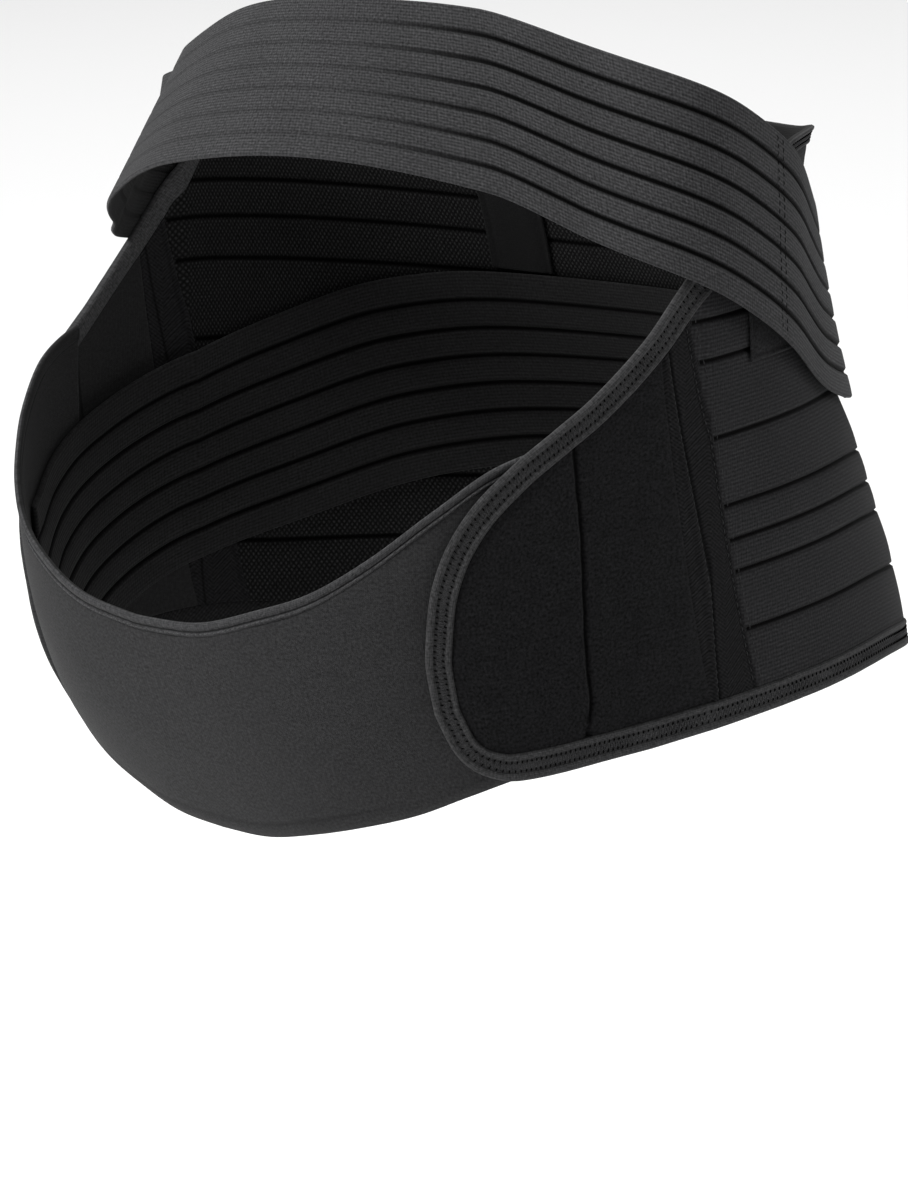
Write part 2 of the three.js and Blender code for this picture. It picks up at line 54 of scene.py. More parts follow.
# Cloth thicknesses and the places of the layers, outwards from the body
BAND_THICKNESS = 2.0
CRADLE_THICKNESS = 2.0
ELASTIC_THICKNESS = 2.2
WING_THICKNESS = 2.4
TRIM_THICKNESS = 1.2
LAYER_GAP = 0.6
BACK_OFFSET = BAND_THICKNESS + LAYER_GAP
CRADLE_OFFSET = BAND_THICKNESS + LAYER_GAP
CRADLE_FACE = CRADLE_OFFSET + CRADLE_THICKNESS
WING_GAP = 0.8
WING_OFFSET = CRADLE_FACE + WING_GAP
PATCH_OFFSET = BACK_OFFSET + ELASTIC_THICKNESS + LAYER_GAP
SEAM_GAP = -0.8

# Sewn edges and bands
BINDING_WIDTH = 11
TOP_BINDING_WIDTH = 7
CRADLE_BINDING_WIDTH = 6
BELLY_BAND_WIDTH = 68
BELLY_BAND_END = 150
BELLY_BAND_CLEARANCE = 8.0
BELLY_BAND_EDGE_CLEARANCE = 12.6
BELLY_BAND_TOP_CLEARANCE = 7.0
TOP_HIP_ANGLE = 76
LOW_HIP_ANGLE = 72
HIP_BLEND = 18
BAND_RIBS = 7
LUMBAR_BAND_WIDTH = 80
LUMBAR_BAND_END = 47
ELASTIC_START_AT_HEM = 98.2
ELASTIC_START_AT_TOP = 83.6
STRIP_GROOVES = [0.148, 0.256, 0.314, 0.377, 0.502, 0.641, 0.713, 0.776, 0.888]
CASING_ANGLE = 146
CASING_WIDTH = 26
PATCH_ANGLE = 99
PATCH_WIDTH = 44
PATCH_LOW_EDGE = 138
PATCH_HEIGHT = 46
CRADLE_DEPTH_BELOW_HEM = 47
CRADLE_END_ANGLE = 76
CRADLE_RIGHT_END = -70
WING_GROOVE_ANGLE = 72.6

# Millimetres along the cloth to a degree round the body, for each layer
CHART_SCALE = 2.65
CRADLE_SCALE = 2.3
CRADLE_RIM_SCALE = 2.4
HALF_BACK_LENGTH = 220

# Fineness of the cloth meshes
ALONG_STEP = 2.6
ACROSS_STEP = 3.2
EDGE_LINES = [0.0, 0.15, 0.4, 0.8, 1.3]


def table(names, *rows):
    """Named columns from rows of numbers; the first column is the key."""
    return dict(zip(names.split(), np.array(rows, float).T))


SECTION = table(
    "at width back front square",
    (-0.25, 0.93, 1.02, 0.78, 0.82),
    (-0.125, 0.972, 1.01, 0.9, 0.9),
    (0.0, 1.0, 1.0, 1.0, 0.97),
    (0.15, 0.997, 0.954, 1.08, 1),
    (0.25, 0.997, 0.903, 1.11, 1),
    (0.375, 0.999, 0.836, 1.124, 1),
    (0.515, 1.002, 0.744, 1.106, 1),
    (0.67, 1.006, 0.695, 1.045, 1),
    (0.82, 1.013, 0.634, 0.947, 1),
    (0.92, 1.022, 0.626, 0.86, 1),
    (1.0, 1.033, 0.662, 0.777, 1),
)
LEVEL = table(
    "angle hem top",
    (-180, -0.075, -0.08),
    (-155, -0.09, -0.075),
    (-136, -0.096, -0.052),
    (-120, -0.092, -0.03),
    (-105, -0.08, -0.01),
    (-90, -0.06, 0.0),
    (-74, -0.08, 0.0),
    (-61, -0.125, 0.0),
    (-50, -0.165, 0.0),
    (50, -0.035, 0.0),
    (61, -0.026, 0.0),
    (74, -0.002, 0.0),
    (90, 0.018, 0.0),
    (111, 0.034, 0.0),
    (128, 0.033, -0.015),
    (145, 0.0, -0.05),
    (162, -0.045, -0.07),
    (180, -0.075, -0.08),
)
WING_TOP = table(
    "angle height",
    (51.7, 0.205), (53.4, 0.312), (57.4, 0.407), (63.7, 0.48), (70, 0.53), (76, 0.578),
    (84, 0.665), (90, 0.755), (98, 0.865), (107, 0.938), (118, 0.965), (180, 0.968),
)
WING_LOW = table(
    "angle height", (51.7, 0.125), (53.2, 0.07), (56.5, 0.045), (61, 0.042), (180, 0.042)
)
WING_SEAM = table("at angle", (0.0, 90.2), (0.3, 88.6), (0.64, 84.0), (0.8, 81.5))
CRADLE = table(
    "angle rim low",
    (0, 0.193, -0.205),
    (10, 0.207, -0.2),
    (20, 0.245, -0.175),
    (30, 0.288, -0.145),
    (40, 0.355, -0.112),
    (50, 0.437, -0.07),
    (60, 0.51, -0.035),
    (76, 0.56, -0.005),
)
BELLY_BAND = table(
    "angle topReach lowReach top low",
    (-150, 0.92, 1.01, 0.765, 0.487),
    (-120, 1.0, 1.04, 0.837, 0.548),
    (-105, 1.05, 1.09, 0.895, 0.6),
    (-90, 0.96, 1.08, 0.94, 0.645),
    (-75, 0.78, 1.0, 1.01, 0.69),
    (-60, 0.655, 0.865, 1.045, 0.752),
    (-30, 0.59, 0.79, 1.117, 0.86),
    (0, 0.56, 0.8, 1.207, 0.959),
    (30, 0.62, 0.815, 1.245, 0.996),
    (60, 0.7, 0.86, 1.237, 0.943),
    (75, 0.835, 0.96, 1.19, 0.86),
    (90, 1.0, 1.06, 1.11, 0.764),
    (105, 1.05, 1.09, 0.99, 0.64),
    (120, 1.0, 1.04, 0.86, 0.527),
    (150, 0.92, 1.01, 0.749, 0.437),
)
LUMBAR = table(
    "angle height",
    (47, 0.19), (62, 0.232), (76, 0.262), (90, 0.305), (106, 0.368), (122, 0.43), (140, 0.463), (180, 0.47),
)
TIP_ANGLE = WING_TOP["angle"][0]


def look_up(rows, name, value):
    """Cubic interpolation of one column of a table, flat beyond its ends."""
    keys = next(iter(rows.values()))
    values = rows[name]
    last = len(keys) - 1
    value = np.clip(value, keys[0], keys[-1])
    i = np.clip(np.searchsorted(keys, value, side="right") - 1, 0, last - 1)
    before = np.maximum(np.arange(last + 1) - 1, 0)
    after = np.minimum(np.arange(last + 1) + 1, last)
    slope = (values[after] - values[before]) / (keys[after] - keys[before])
    span = keys[i + 1] - keys[i]
    t = (value - keys[i]) / span
    end_part = t * t * (3 - 2 * t)
    turns = t * (1 - t) ** 2 * slope[i] + t * t * (t - 1) * slope[i + 1]
    return values[i] + (values[i + 1] - values[i]) * end_part + span * turns


def blend(value, start, end):
    t = np.clip((value - start) / (end - start), 0, 1)
    return t * t * (3 - 2 * t)


def level_height(angle, height):
    """Height above the origin of a chart height at an angle."""
    share = height / PANEL_HEIGHT
    hem = look_up(LEVEL, "hem", angle)
    top = look_up(LEVEL, "top", angle)
    return height + PANEL_HEIGHT * (hem + (top - hem) * share)


def section_sizes(turn, z):
    """Half width, reach and squareness of the body space at a height."""
    at = z / PANEL_HEIGHT
    width = HIP_HALF_WIDTH * look_up(SECTION, "width", at)
    ahead = np.cos(turn) > 0
    front = FRONT_REACH * look_up(SECTION, "front", at)
    back = BACK_REACH * look_up(SECTION, "back", at)
    square = FRONT_SQUARENESS * look_up(SECTION, "square", at)
    return width, np.where(ahead, front, back), np.where(ahead, square, BACK_SQUARENESS)


def section_point(angle, z, offset):
    """Points on the body space's surface, moved out along the section's normal."""
    angle, z, offset = np.broadcast_arrays(angle, z, offset)
    turn = np.radians(angle)
    width, reach, power = section_sizes(turn, z)
    side, ahead = np.sin(turn), np.cos(turn)
    x = width * np.sign(side) * np.abs(side) ** (2 / power)
    y = -reach * np.sign(ahead) * np.abs(ahead) ** (2 / power)
    normal_x = np.sign(x) * np.abs(x / width) ** (power - 1) / width
    normal_y = np.sign(y) * np.abs(y / reach) ** (power - 1) / reach
    length = np.hypot(normal_x, normal_y)
    return np.stack([x + normal_x / length * offset, y + normal_y / length * offset, z], -1)


def chart_point(angle, height, offset):
    return section_point(angle, level_height(angle, height), offset)


def shell_offset(angle):
    """Inner face of the outer layer: outside the cradle at the front, next to the band behind."""
    return WING_OFFSET + (BACK_OFFSET - WING_OFFSET) * blend(np.abs(angle), 80, 100)


def binding_top(angle):
    return PANEL_HEIGHT * look_up(WING_TOP, "height", np.abs(angle))


def binding_low(angle):
    return PANEL_HEIGHT * look_up(WING_LOW, "height", np.abs(angle))


def tip_line(height):
    return TIP_ANGLE + 0 * height


def wing_seam(height):
    return look_up(WING_SEAM, "angle", height / PANEL_HEIGHT)


def elastic_start(height):
    return ELASTIC_START_AT_HEM + (ELASTIC_START_AT_TOP - ELASTIC_START_AT_HEM) * height / PANEL_HEIGHT


def spine_line(height):
    return 180 + 0 * height


def slant(share, start_line, end_line, edge):
    """Angle and height where a share of the way between two edge lines meets an edge."""
    angle = 90 + 0 * share
    height = edge(angle)
    for _ in range(12):
        angle = start_line(height) + (end_line(height) - start_line(height)) * share
        height = edge(angle)
    return angle, height


def steps(start, end, step, fine=()):
    """Even positions from start to end, with fine lines given as distances in from both ends."""
    count = max(1, round(abs(end - start) / step))
    inside = np.linspace(start, end, count + 1)
    fine = np.array([d for d in fine if d < abs(end - start) / 2])
    keep = [p for p in inside if not len(fine) or start + fine[-1] < p < end - fine[-1]]
    return np.array(sorted([*(start + fine), *keep, *(end - fine)]) if len(fine) else inside)


def groove_steps(grooves, width, span, step):
    """Positions from 0 to span with close lines across each groove."""
    close = np.array([-1.0, -0.62, -0.36, -0.16, 0.0, 0.16, 0.36, 0.62, 1.0]) * width
    marks = [g + c for g in grooves for c in close]
    plain = [p for p in steps(0, span, step, EDGE_LINES) if all(abs(p - g) > width * 1.15 for g in grooves)]
    return np.array(sorted([*marks, *plain]))


def valley(distance, width):
    """1 at a groove's floor, 0 outside it, with rounded lips."""
    return np.clip(1 - (np.abs(distance) / width) ** 2, 0, 1) ** 1.5


def grooves_at(height, grooves, width):
    return np.max([valley(height - g, width) for g in grooves], axis=0)


def ribs_at(height, grooves, span):
    """Crown of the cloth between grooves: 1 half way, 0 at the grooves."""
    edges = np.array([0, *grooves, span])
    i = np.clip(np.searchsorted(edges, height, side="right") - 1, 0, len(edges) - 2)
    share = (height - edges[i]) / (edges[i + 1] - edges[i])
    return np.clip(4 * share * (1 - share), 0, 1)


def waves(a, b, seed, size=60.0):
    """Slow unevenness of worn cloth, about -1 to 1, over two distances in millimetres."""
    source = np.random.default_rng(seed)
    total = 0
    for k in range(6):
        pitch = size / (1 + 0.7 * k)
        turn = source.uniform(0, math.pi)
        start = source.uniform(0, 2 * math.pi)
        along = a * math.cos(turn) + b * math.sin(turn)
        total = total + np.sin(2 * math.pi * along / pitch + start) / (1 + 0.6 * k)
    return total / 2.6


def edge_fullness(d, radius):
    """Thickness share of a cloth edge that rounds over within a radius."""
    return np.sqrt(np.clip(1 - (1 - np.clip(d / radius, 0.02, 1)) ** 2, 0, 1))


def rounded_wall(place, outer, inner, full):
    """Points of a wall's two faces, drawn together where it thins; place(offset) gives the points."""
    middle = (outer + inner) / 2
    return [place(middle + (face - middle) * full) for face in (outer, inner)]


def joined_runs(runs):
    """Starts, ends and lifts of several rows of stitches as one."""
    return [np.concatenate(parts) for parts in zip(*runs)]


def both_sides(half):
    """Columns from one side up to the spine, carried on to the other side."""
    return np.concatenate([half, half[..., -2::-1]], -1)


# Meshes


def mesh(name, vertices, faces, cloth, shade, slots, material_index):
    """Object from millimetre vertices, with cloth distances as its UV map and a shade attribute of painted
    shade.
    """
    data = bpy.data.meshes.new(name)
    data.from_pydata((np.asarray(vertices) * MM).tolist(), [], faces.tolist())
    layer = data.uv_layers.new(name="cloth")
    loops = np.empty(len(data.loops), int)
    data.loops.foreach_get("vertex_index", loops)
    layer.data.foreach_set("uv", (cloth[loops] * MM).astype(np.float32).ravel())
    tone = data.attributes.new("shade", "FLOAT", "POINT")
    tone.data.foreach_set("value", np.asarray(shade, np.float32))
    for material in slots:
        data.materials.append(material)
    data.polygons.foreach_set("material_index", np.asarray(material_index, np.int32))
    data.polygons.foreach_set("use_smooth", np.ones(len(faces), bool))
    data.validate()
    data.update()
    piece = bpy.data.objects.new(name, data)
    bpy.context.scene.collection.objects.link(piece)
    return piece


def grid_faces(rows, cols, start, flip):
    r, c = np.meshgrid(np.arange(rows - 1), np.arange(cols - 1), indexing="ij")
    a = start + r * cols + c
    quads = np.stack([a, a + 1, a + cols + 1, a + cols], -1).reshape(-1, 4)
    return quads[:, ::-1] if flip else quads


def facing_out(vertices, faces):
    """Faces turned so that the solid's volume is positive."""
    a, b, c = vertices[faces[:, 0]], vertices[faces[:, 1]], vertices[faces[:, 2]]
    return faces[:, ::-1] if np.einsum("ij,ij->", a, np.cross(b, c)) < 0 else faces


def shell(name, outer, inner, cloth, shade, slots):
    """Closed cloth wall between two grids of points. Slot 0 is the outer face, slot 1 the inner."""
    rows, cols = outer.shape[:2]
    size = rows * cols
    vertices = np.concatenate([outer.reshape(-1, 3), inner.reshape(-1, 3)])
    index = np.arange(size).reshape(rows, cols)
    rim = np.concatenate([index[0, :], index[1:, -1], index[-1, -2::-1], index[-2:0:-1, 0]])
    following = np.roll(rim, -1)
    band = np.stack([rim + size, following + size, following, rim], -1)
    faces = np.concatenate([grid_faces(rows, cols, 0, False), grid_faces(rows, cols, size, True), band])
    cells = (rows - 1) * (cols - 1)
    kinds = np.concatenate([np.zeros(cells), np.ones(cells), np.zeros(len(band))])
    faces = facing_out(vertices, faces)
    cloth = np.concatenate([cloth.reshape(-1, 2)] * 2)
    tone = np.broadcast_to(shade, (rows, cols)).ravel()
    return mesh(name, vertices, faces, cloth, np.concatenate([tone, tone]), slots, kinds)


def swept(name, sections, cloth, shade, slots, kinds, closed):
    """Tube of sections (steps, points, 3), closed on itself or capped. kinds gives each strip's slot."""
    count, around = sections.shape[:2]
    loops = count if closed else count - 1
    i, k = np.meshgrid(np.arange(loops), np.arange(around), indexing="ij")
    j, m = (i + 1) % count, (k + 1) % around
    faces = np.stack([i * around + k, i * around + m, j * around + m, j * around + k], -1).reshape(-1, 4)
    kinds = np.broadcast_to(kinds, (loops, around)).ravel()
    vertices = sections.reshape(-1, 3)
    if not closed:
        caps = []
        for first, flip in ((0, False), ((count - 1) * around, True)):
            last = first + around - 1
            ring = [(first + q, first + q + 1, last - 1 - q, last - q) for q in range(around // 2 - 1)]
            caps += [quad[::-1] if flip else quad for quad in ring]
        faces = np.concatenate([faces, np.array(caps)])
        kinds = np.concatenate([kinds, np.zeros(len(caps))])
    faces = facing_out(vertices, faces)
    return mesh(name, vertices, faces, cloth.reshape(-1, 2), shade.ravel(), slots, kinds)


def stitches(name, starts, ends, lifts, radius, material):
    """Short threads from start to end points, bowed a little out along the lifts."""
    sizes = np.array([0.3, 0.85, 1.0, 0.85, 0.3])
    bows = np.array([-0.9, 0.25, 0.7, 0.25, -0.9])
    around = np.arange(6) * math.pi / 3
    run = ends - starts
    side = np.cross(run, lifts)
    side /= np.linalg.norm(side, axis=1, keepdims=True)
    rings = []
    for share, size, bow in zip(np.linspace(0, 1, 5), sizes, bows):
        middle = starts + run * share + lifts * radius * bow
        for turn in around:
            out = side * math.cos(turn) + lifts * math.sin(turn)
            rings.append(middle + out * radius * size)
    vertices = np.stack(rings, 1)
    count = len(starts)
    one = []
    for ring in range(4):
        for k in range(6):
            a, b = ring * 6 + k, ring * 6 + (k + 1) % 6
            one.append((a, b, b + 6, a + 6))
    one += [(0, 1, 2, 3), (0, 3, 4, 5), (24, 27, 26, 25), (24, 29, 28, 27)]
    faces = (np.array(one)[None] + (np.arange(count) * 30)[:, None, None]).reshape(-1, 4)[:, ::-1]
    cloth = np.tile(np.linspace(0, 1, 30)[None, :, None], (count, 1, 2)) * 2
    flat = vertices.reshape(-1, 3)
    shade, kinds = np.zeros(len(flat)), np.zeros(len(faces))
    return mesh(name, flat, faces, cloth.reshape(-1, 2), shade, [material], kinds)


def running_stitches(surface, path, length, gap, jitter=0.06):
    """Starts, ends and lifts of straight stitches along a chart path on a surface(angle, height)."""
    path = np.asarray(path, float)
    points = surface(path[:, 0], path[:, 1])
    reach = np.concatenate([[0], np.cumsum(np.linalg.norm(np.diff(points, axis=0), axis=1))])
    heads = np.arange(gap, reach[-1] - length, length + gap)
    heads = heads + rng.uniform(-jitter, jitter, len(heads))

    def at(distance):
        angle = np.interp(distance, reach, path[:, 0])
        height = np.interp(distance, reach, path[:, 1])
        here = surface(angle, height)
        east = surface(angle + 0.2, height) - surface(angle - 0.2, height)
        north = surface(angle, height + 0.5) - surface(angle, height - 0.5)
        normal = np.cross(east, north)
        return here, normal / np.linalg.norm(normal, axis=1, keepdims=True)

    start, lift = at(heads)
    end, _ = at(heads + length)
    return start, end, lift


# Materials


class Cloth:
    """Procedural cloth material: a height pattern drives bump, and tone and patchiness the colour."""

    def __init__(self, name, colour, roughness=0.9, sheen=0.02, specular=0.07):
        self.material = bpy.data.materials.new(name)
        self.material.use_nodes = True
        self.tree = self.material.node_tree
        self.shader = self.tree.nodes["Principled BSDF"]
        self.shader.inputs["Roughness"].default_value = roughness
        self.shader.inputs["Sheen Weight"].default_value = sheen
        self.shader.inputs["Sheen Roughness"].default_value = 0.45
        self.shader.inputs["Specular IOR Level"].default_value = specular
        self.colour = colour
        self.material.diffuse_color = (*colour, 1)
        uv = self.node("ShaderNodeUVMap")
        uv.uv_map = "cloth"
        parts = self.node("ShaderNodeSeparateXYZ", Vector=uv.outputs["UV"])
        self.uv, self.u, self.v = uv.outputs["UV"], parts.outputs["X"], parts.outputs["Y"]

    def node(self, kind, **inputs):
        made = self.tree.nodes.new(kind)
        for key, value in inputs.items():
            self.put(made.inputs[key.replace("_", " ")], value)
        return made

    def put(self, socket, value):
        if isinstance(value, bpy.types.NodeSocket):
            self.tree.links.new(value, socket)
        else:
            socket.default_value = value

    def math(self, operation, *values, clamp=False):
        made = self.tree.nodes.new("ShaderNodeMath")
        made.operation = operation
        made.use_clamp = clamp
        for socket, value in zip(made.inputs, values):
            self.put(socket, value)
        return made.outputs[0]

    def stripes(self, coordinate, pitch, start=0.0):
        """0 to 1 sine stripes at a pitch in millimetres."""
        turn = self.math("MULTIPLY_ADD", coordinate, 2 * math.pi / (pitch * MM), start)
        return self.math("MULTIPLY_ADD", self.math("SINE", turn), 0.5, 0.5)

    def slanted(self, angle):
        """Cloth distance measured across lines that run at an angle in degrees."""
        a = self.math("MULTIPLY", self.u, math.cos(math.radians(angle)))
        return self.math("MULTIPLY_ADD", self.v, math.sin(math.radians(angle)), a)

    def noise(self, size, detail=2.0, rough=0.5):
        """0 to 1 noise with features about size millimetres wide."""
        scale = 1 / (size * MM)
        made = self.node("ShaderNodeTexNoise", Vector=self.uv, Scale=scale, Detail=detail, Roughness=rough)
        return made.outputs["Fac"]

    def mix(self, a, b, share):
        """Weighted mean of two values."""
        return self.math("MULTIPLY_ADD", self.math("SUBTRACT", b, a), share, a)

    def uneven(self, size, amount):
        """Factor about 1 that wanders by the amount over a size in millimetres."""
        return self.math("MULTIPLY_ADD", self.noise(size, 3), 5 * amount, 1 - 2.5 * amount)

    def finish(self, height, depth, contrast, patch, patch_size, grain):
        """Bump of a depth in millimetres, painted shade darkening the pattern's hollows, slow patches, grain
        and the painted shade carried by the mesh's shade attribute.
        """
        bump = self.node("ShaderNodeBump", Height=height, Distance=depth * MM, Strength=1.0)
        self.tree.links.new(bump.outputs["Normal"], self.shader.inputs["Normal"])
        shade = self.node("ShaderNodeAttribute")
        shade.attribute_name = "shade"
        # Painted shade: the colour darkens in the pattern's hollows.
        hollow_painted_shade = self.math("MULTIPLY_ADD", height, contrast, 1 - contrast / 2)
        slow = self.math("MULTIPLY", self.uneven(patch_size, patch), self.uneven(1.1, grain))
        # Painted shade from the mesh: grooves, seams and channels darkened through the shade attribute.
        lit = self.math("SUBTRACT", 1.0, shade.outputs["Fac"], clamp=True)
        tone = self.math("MULTIPLY", self.math("MULTIPLY", hollow_painted_shade, slow), lit)
        scale = self.node("ShaderNodeVectorMath", Vector=self.colour)
        scale.operation = "SCALE"
        self.put(scale.inputs["Scale"], tone)
        self.tree.links.new(scale.outputs["Vector"], self.shader.inputs["Base Color"])
        return self.material


def fine_elastic(name, colour, line_pitch, cross_pitch, depth):
    """Knitted elastic: fine cords along the strip, crossed by finer picks."""
    cloth = Cloth(name, colour, 0.88, 0.02, 0.06)
    wobble = cloth.math("MULTIPLY_ADD", cloth.noise(6.0), 0.5 * MM, cloth.v)
    cords = cloth.stripes(wobble, line_pitch)
    picks = cloth.stripes(cloth.u, cross_pitch)
    fuzz = cloth.noise(0.8, 3, 0.7)
    height = cloth.mix(cloth.mix(cords, picks, 0.34), fuzz, 0.4)
    return cloth.finish(height, depth, 1.3, 0.06, 22, 0.42)


def twill(name, colour, pitch, depth, zigzag=0.0):
    """Diagonal ribs broken by short crossings; a zigzag length turns it into herringbone."""
    cloth = Cloth(name, colour, 0.92, 0.012, 0.04)
    across = cloth.v
    if zigzag:
        fold = cloth.math("PINGPONG", cloth.u, zigzag * MM)
        diagonal = cloth.math("ADD", fold, across)
    else:
        diagonal = cloth.math("ADD", cloth.u, across)
    lines = cloth.stripes(diagonal, pitch)
    breaks = cloth.stripes(cloth.math("SUBTRACT", cloth.u, across), pitch * 1.5)
    height = cloth.mix(cloth.mix(lines, breaks, 0.35), cloth.noise(0.6, 3, 0.7), 0.3)
    return cloth.finish(height, depth, 1.4, 0.08, 16, 0.4)


def mesh_knit(name, colour, pitch, depth):
    """Open knit of small staggered dots."""
    cloth = Cloth(name, colour, 0.93, 0.01, 0.04)
    one = cloth.stripes(cloth.slanted(35), pitch)
    two = cloth.stripes(cloth.slanted(-35), pitch)
    dots = cloth.math("MULTIPLY", one, two)
    height = cloth.mix(dots, cloth.noise(0.6, 3, 0.7), 0.25)
    return cloth.finish(height, depth, 1.9, 0.08, 18, 0.4)


def plush(name, colour):
    """Short brushed pile: fine fuzz, with slow streaks where it is stroked."""
    cloth = Cloth(name, colour, 0.97, 0.03, 0.03)
    fuzz = cloth.noise(0.45, 4, 0.8)
    tufts = cloth.noise(1.6, 3, 0.6)
    height = cloth.mix(fuzz, tufts, 0.45)
    return cloth.finish(height, 0.3, 1.2, 0.12, 7, 0.6)


def smooth_knit(name, colour):
    """Fine smooth face with a barely visible stitch."""
    cloth = Cloth(name, colour, 0.8, 0.02, 0.08)
    fine = cloth.math("MULTIPLY", cloth.stripes(cloth.u, 0.8), cloth.stripes(cloth.v, 0.7))
    height = cloth.mix(cloth.mix(fine, cloth.noise(0.5, 3, 0.7), 0.55), cloth.noise(5.0, 3), 0.35)
    return cloth.finish(height, 0.16, 0.6, 0.05, 6, 0.42)


def tape(name, colour):
    """Narrow woven tape with a faint grain along it."""
    cloth = Cloth(name, colour, 0.82, 0.02, 0.1)
    grain = cloth.stripes(cloth.v, 0.7)
    picks = cloth.stripes(cloth.u, 1.0)
    height = cloth.mix(cloth.mix(grain, picks, 0.4), cloth.noise(0.5, 3, 0.7), 0.4)
    return cloth.finish(height, 0.16, 1.0, 0.08, 4, 0.5)


def thread(name, colour):
    """Twisted sewing thread."""
    cloth = Cloth(name, colour, 0.7, 0.02, 0.15)
    height = cloth.stripes(cloth.slanted(45), 0.5)
    return cloth.finish(height, 0.05, 0.4, 0.05, 4, 0.1)


RIBBED = fine_elastic("ribbed_elastic", (0.029, 0.029, 0.030), 1.25, 1.2, 0.2)
# A darker copy of the ribbed elastic: painted shade of the belt's inside.
RIBBED_SHADED_INSIDE = fine_elastic("ribbed_elastic_shaded_inside", (0.0077, 0.0077, 0.0078), 1.35, 1.3, 0.2)
ELASTIC = fine_elastic("strip_elastic", (0.0128, 0.0128, 0.0134), 1.6, 1.3, 0.2)
# The strip elastic's own dotted inner face, given a darker colour as painted shade of the belt's inside.
ELASTIC_INSIDE_SHADED = mesh_knit("strip_elastic_inside_shaded", (0.0098, 0.0098, 0.0099), 1.5, 0.25)
PLUSH = plush("plush_face", (0.0069, 0.0069, 0.0073))
PLUSH_INSIDE = smooth_knit("plush_backing", (0.008, 0.008, 0.0081))
SMOOTH = smooth_knit("smooth_face", (0.0172, 0.0172, 0.0177))
# The smooth backing, given a darker colour as painted shade of the belt's inside.
SMOOTH_INSIDE_SHADED = smooth_knit("smooth_backing_shaded", (0.009, 0.009, 0.0092))
RIM = tape("rim_tape", (0.027, 0.027, 0.028))
BINDING = tape("binding_tape", (0.026, 0.026, 0.0267))
# A darker copy of the binding for its inner face where the belt shades it: painted shade.
BINDING_SHADED_INSIDE = twill("binding_shaded_inside", (0.009, 0.009, 0.0092), 1.5, 0.2)
TWILL = twill("side_twill", (0.0072, 0.0072, 0.0075), 1.5, 0.2, 7.0)
# The casing tape's own near-black, matched to the shade inside the belt; also painted deep shade on the
# binding's inner rim at the back.
CASING_AND_DEEP_SHADE = tape("casing_tape_and_deep_shade", (0.0026, 0.0026, 0.0027))
LOOP = plush("loop_face", (0.013, 0.013, 0.0136))
THREAD = thread("sewing_thread", (0.020, 0.020, 0.021))
# Near-black of needle holes: painted shade in the holes.
HOLE_SHADE = plush("needle_hole_shade", (0.0004, 0.0004, 0.0004))
LIGHT_THREAD = thread("rim_thread", (0.045, 0.045, 0.046))


def dress(piece, slot, *nodes):
    """Every piece rides on the belt's one body; nodes are the solids that it stands for."""
    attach(piece, "root")
    if nodes:
        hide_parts(*nodes)
    return piece


# Outer layer: back panel, side tapes, wings


def back_surface(angle, height):
    """Outer face of the elastic back panel with its grooves and crowns."""
    grooves = np.array(STRIP_GROOVES) * PANEL_HEIGHT
    uneven = 0.35 * waves(np.abs(angle) * CHART_SCALE, height, 3, 90)
    dip = 1.15 * grooves_at(height, grooves, 1.35)
    crown = 0.42 * ribs_at(height, grooves, PANEL_HEIGHT)
    return shell_offset(angle) + ELASTIC_THICKNESS - dip + crown - 0.12 + 0.25 * uneven


def back_panel():
    half = 92
    grooves = np.array(STRIP_GROOVES) * PANEL_HEIGHT
    wanted = groove_steps(grooves, 1.3, PANEL_HEIGHT, ACROSS_STEP)
    shares = steps(0, 1, 1 / half, (0, 0.0008, 0.002, 0.004))
    shares = shares[: np.searchsorted(shares, 0.9999)]
    shares = np.append(shares[shares < 0.995], 1.0)
    _, floor = slant(shares, elastic_start, spine_line, binding_low)
    _, ceiling = slant(shares, elastic_start, spine_line, binding_top)
    floor, ceiling = floor + SEAM_GAP, ceiling - SEAM_GAP
    count = len(wanted)
    stack = 0.05
    height = np.empty((count, len(shares)))
    limit = ceiling.copy()
    for row in range(count - 1, -1, -1):
        height[row] = np.maximum(np.minimum(wanted[row], limit), floor + row * stack)
        limit = height[row] - stack
    start = elastic_start(height) + SEAM_GAP / CHART_SCALE * (1 - shares)
    angle = start + (180 - start) * shares
    angle = np.concatenate([angle, -angle[:, -2::-1]], 1)
    height, floor, ceiling = [both_sides(half_way) for half_way in (height, floor, ceiling)]
    inset = np.minimum(height - floor, ceiling - height)
    ends = both_sides(shares) * HALF_BACK_LENGTH
    full = edge_fullness(np.minimum(inset, ends), 0.9)
    outer = back_surface(angle, height)
    inside = 0.7 * grooves_at(height, grooves, 1.1) - 0.25 * ribs_at(height, grooves, PANEL_HEIGHT)
    inner = shell_offset(angle) + inside + 0.2
    faces = rounded_wall(lambda offset: chart_point(angle, height, offset), outer, inner, full)
    # Painted shade in the grooves between the elastic strips.
    dark = np.minimum(1, 1.5 * grooves_at(height, grooves, 1.25))
    run = np.where(angle > 0, angle, 360 + angle) * CHART_SCALE
    cloth = np.stack([run, height], -1)
    piece = shell("back_panel_elastic", *faces, cloth, dark, [ELASTIC, ELASTIC_INSIDE_SHADED])
    dress(piece, "elastic", "back_panel")


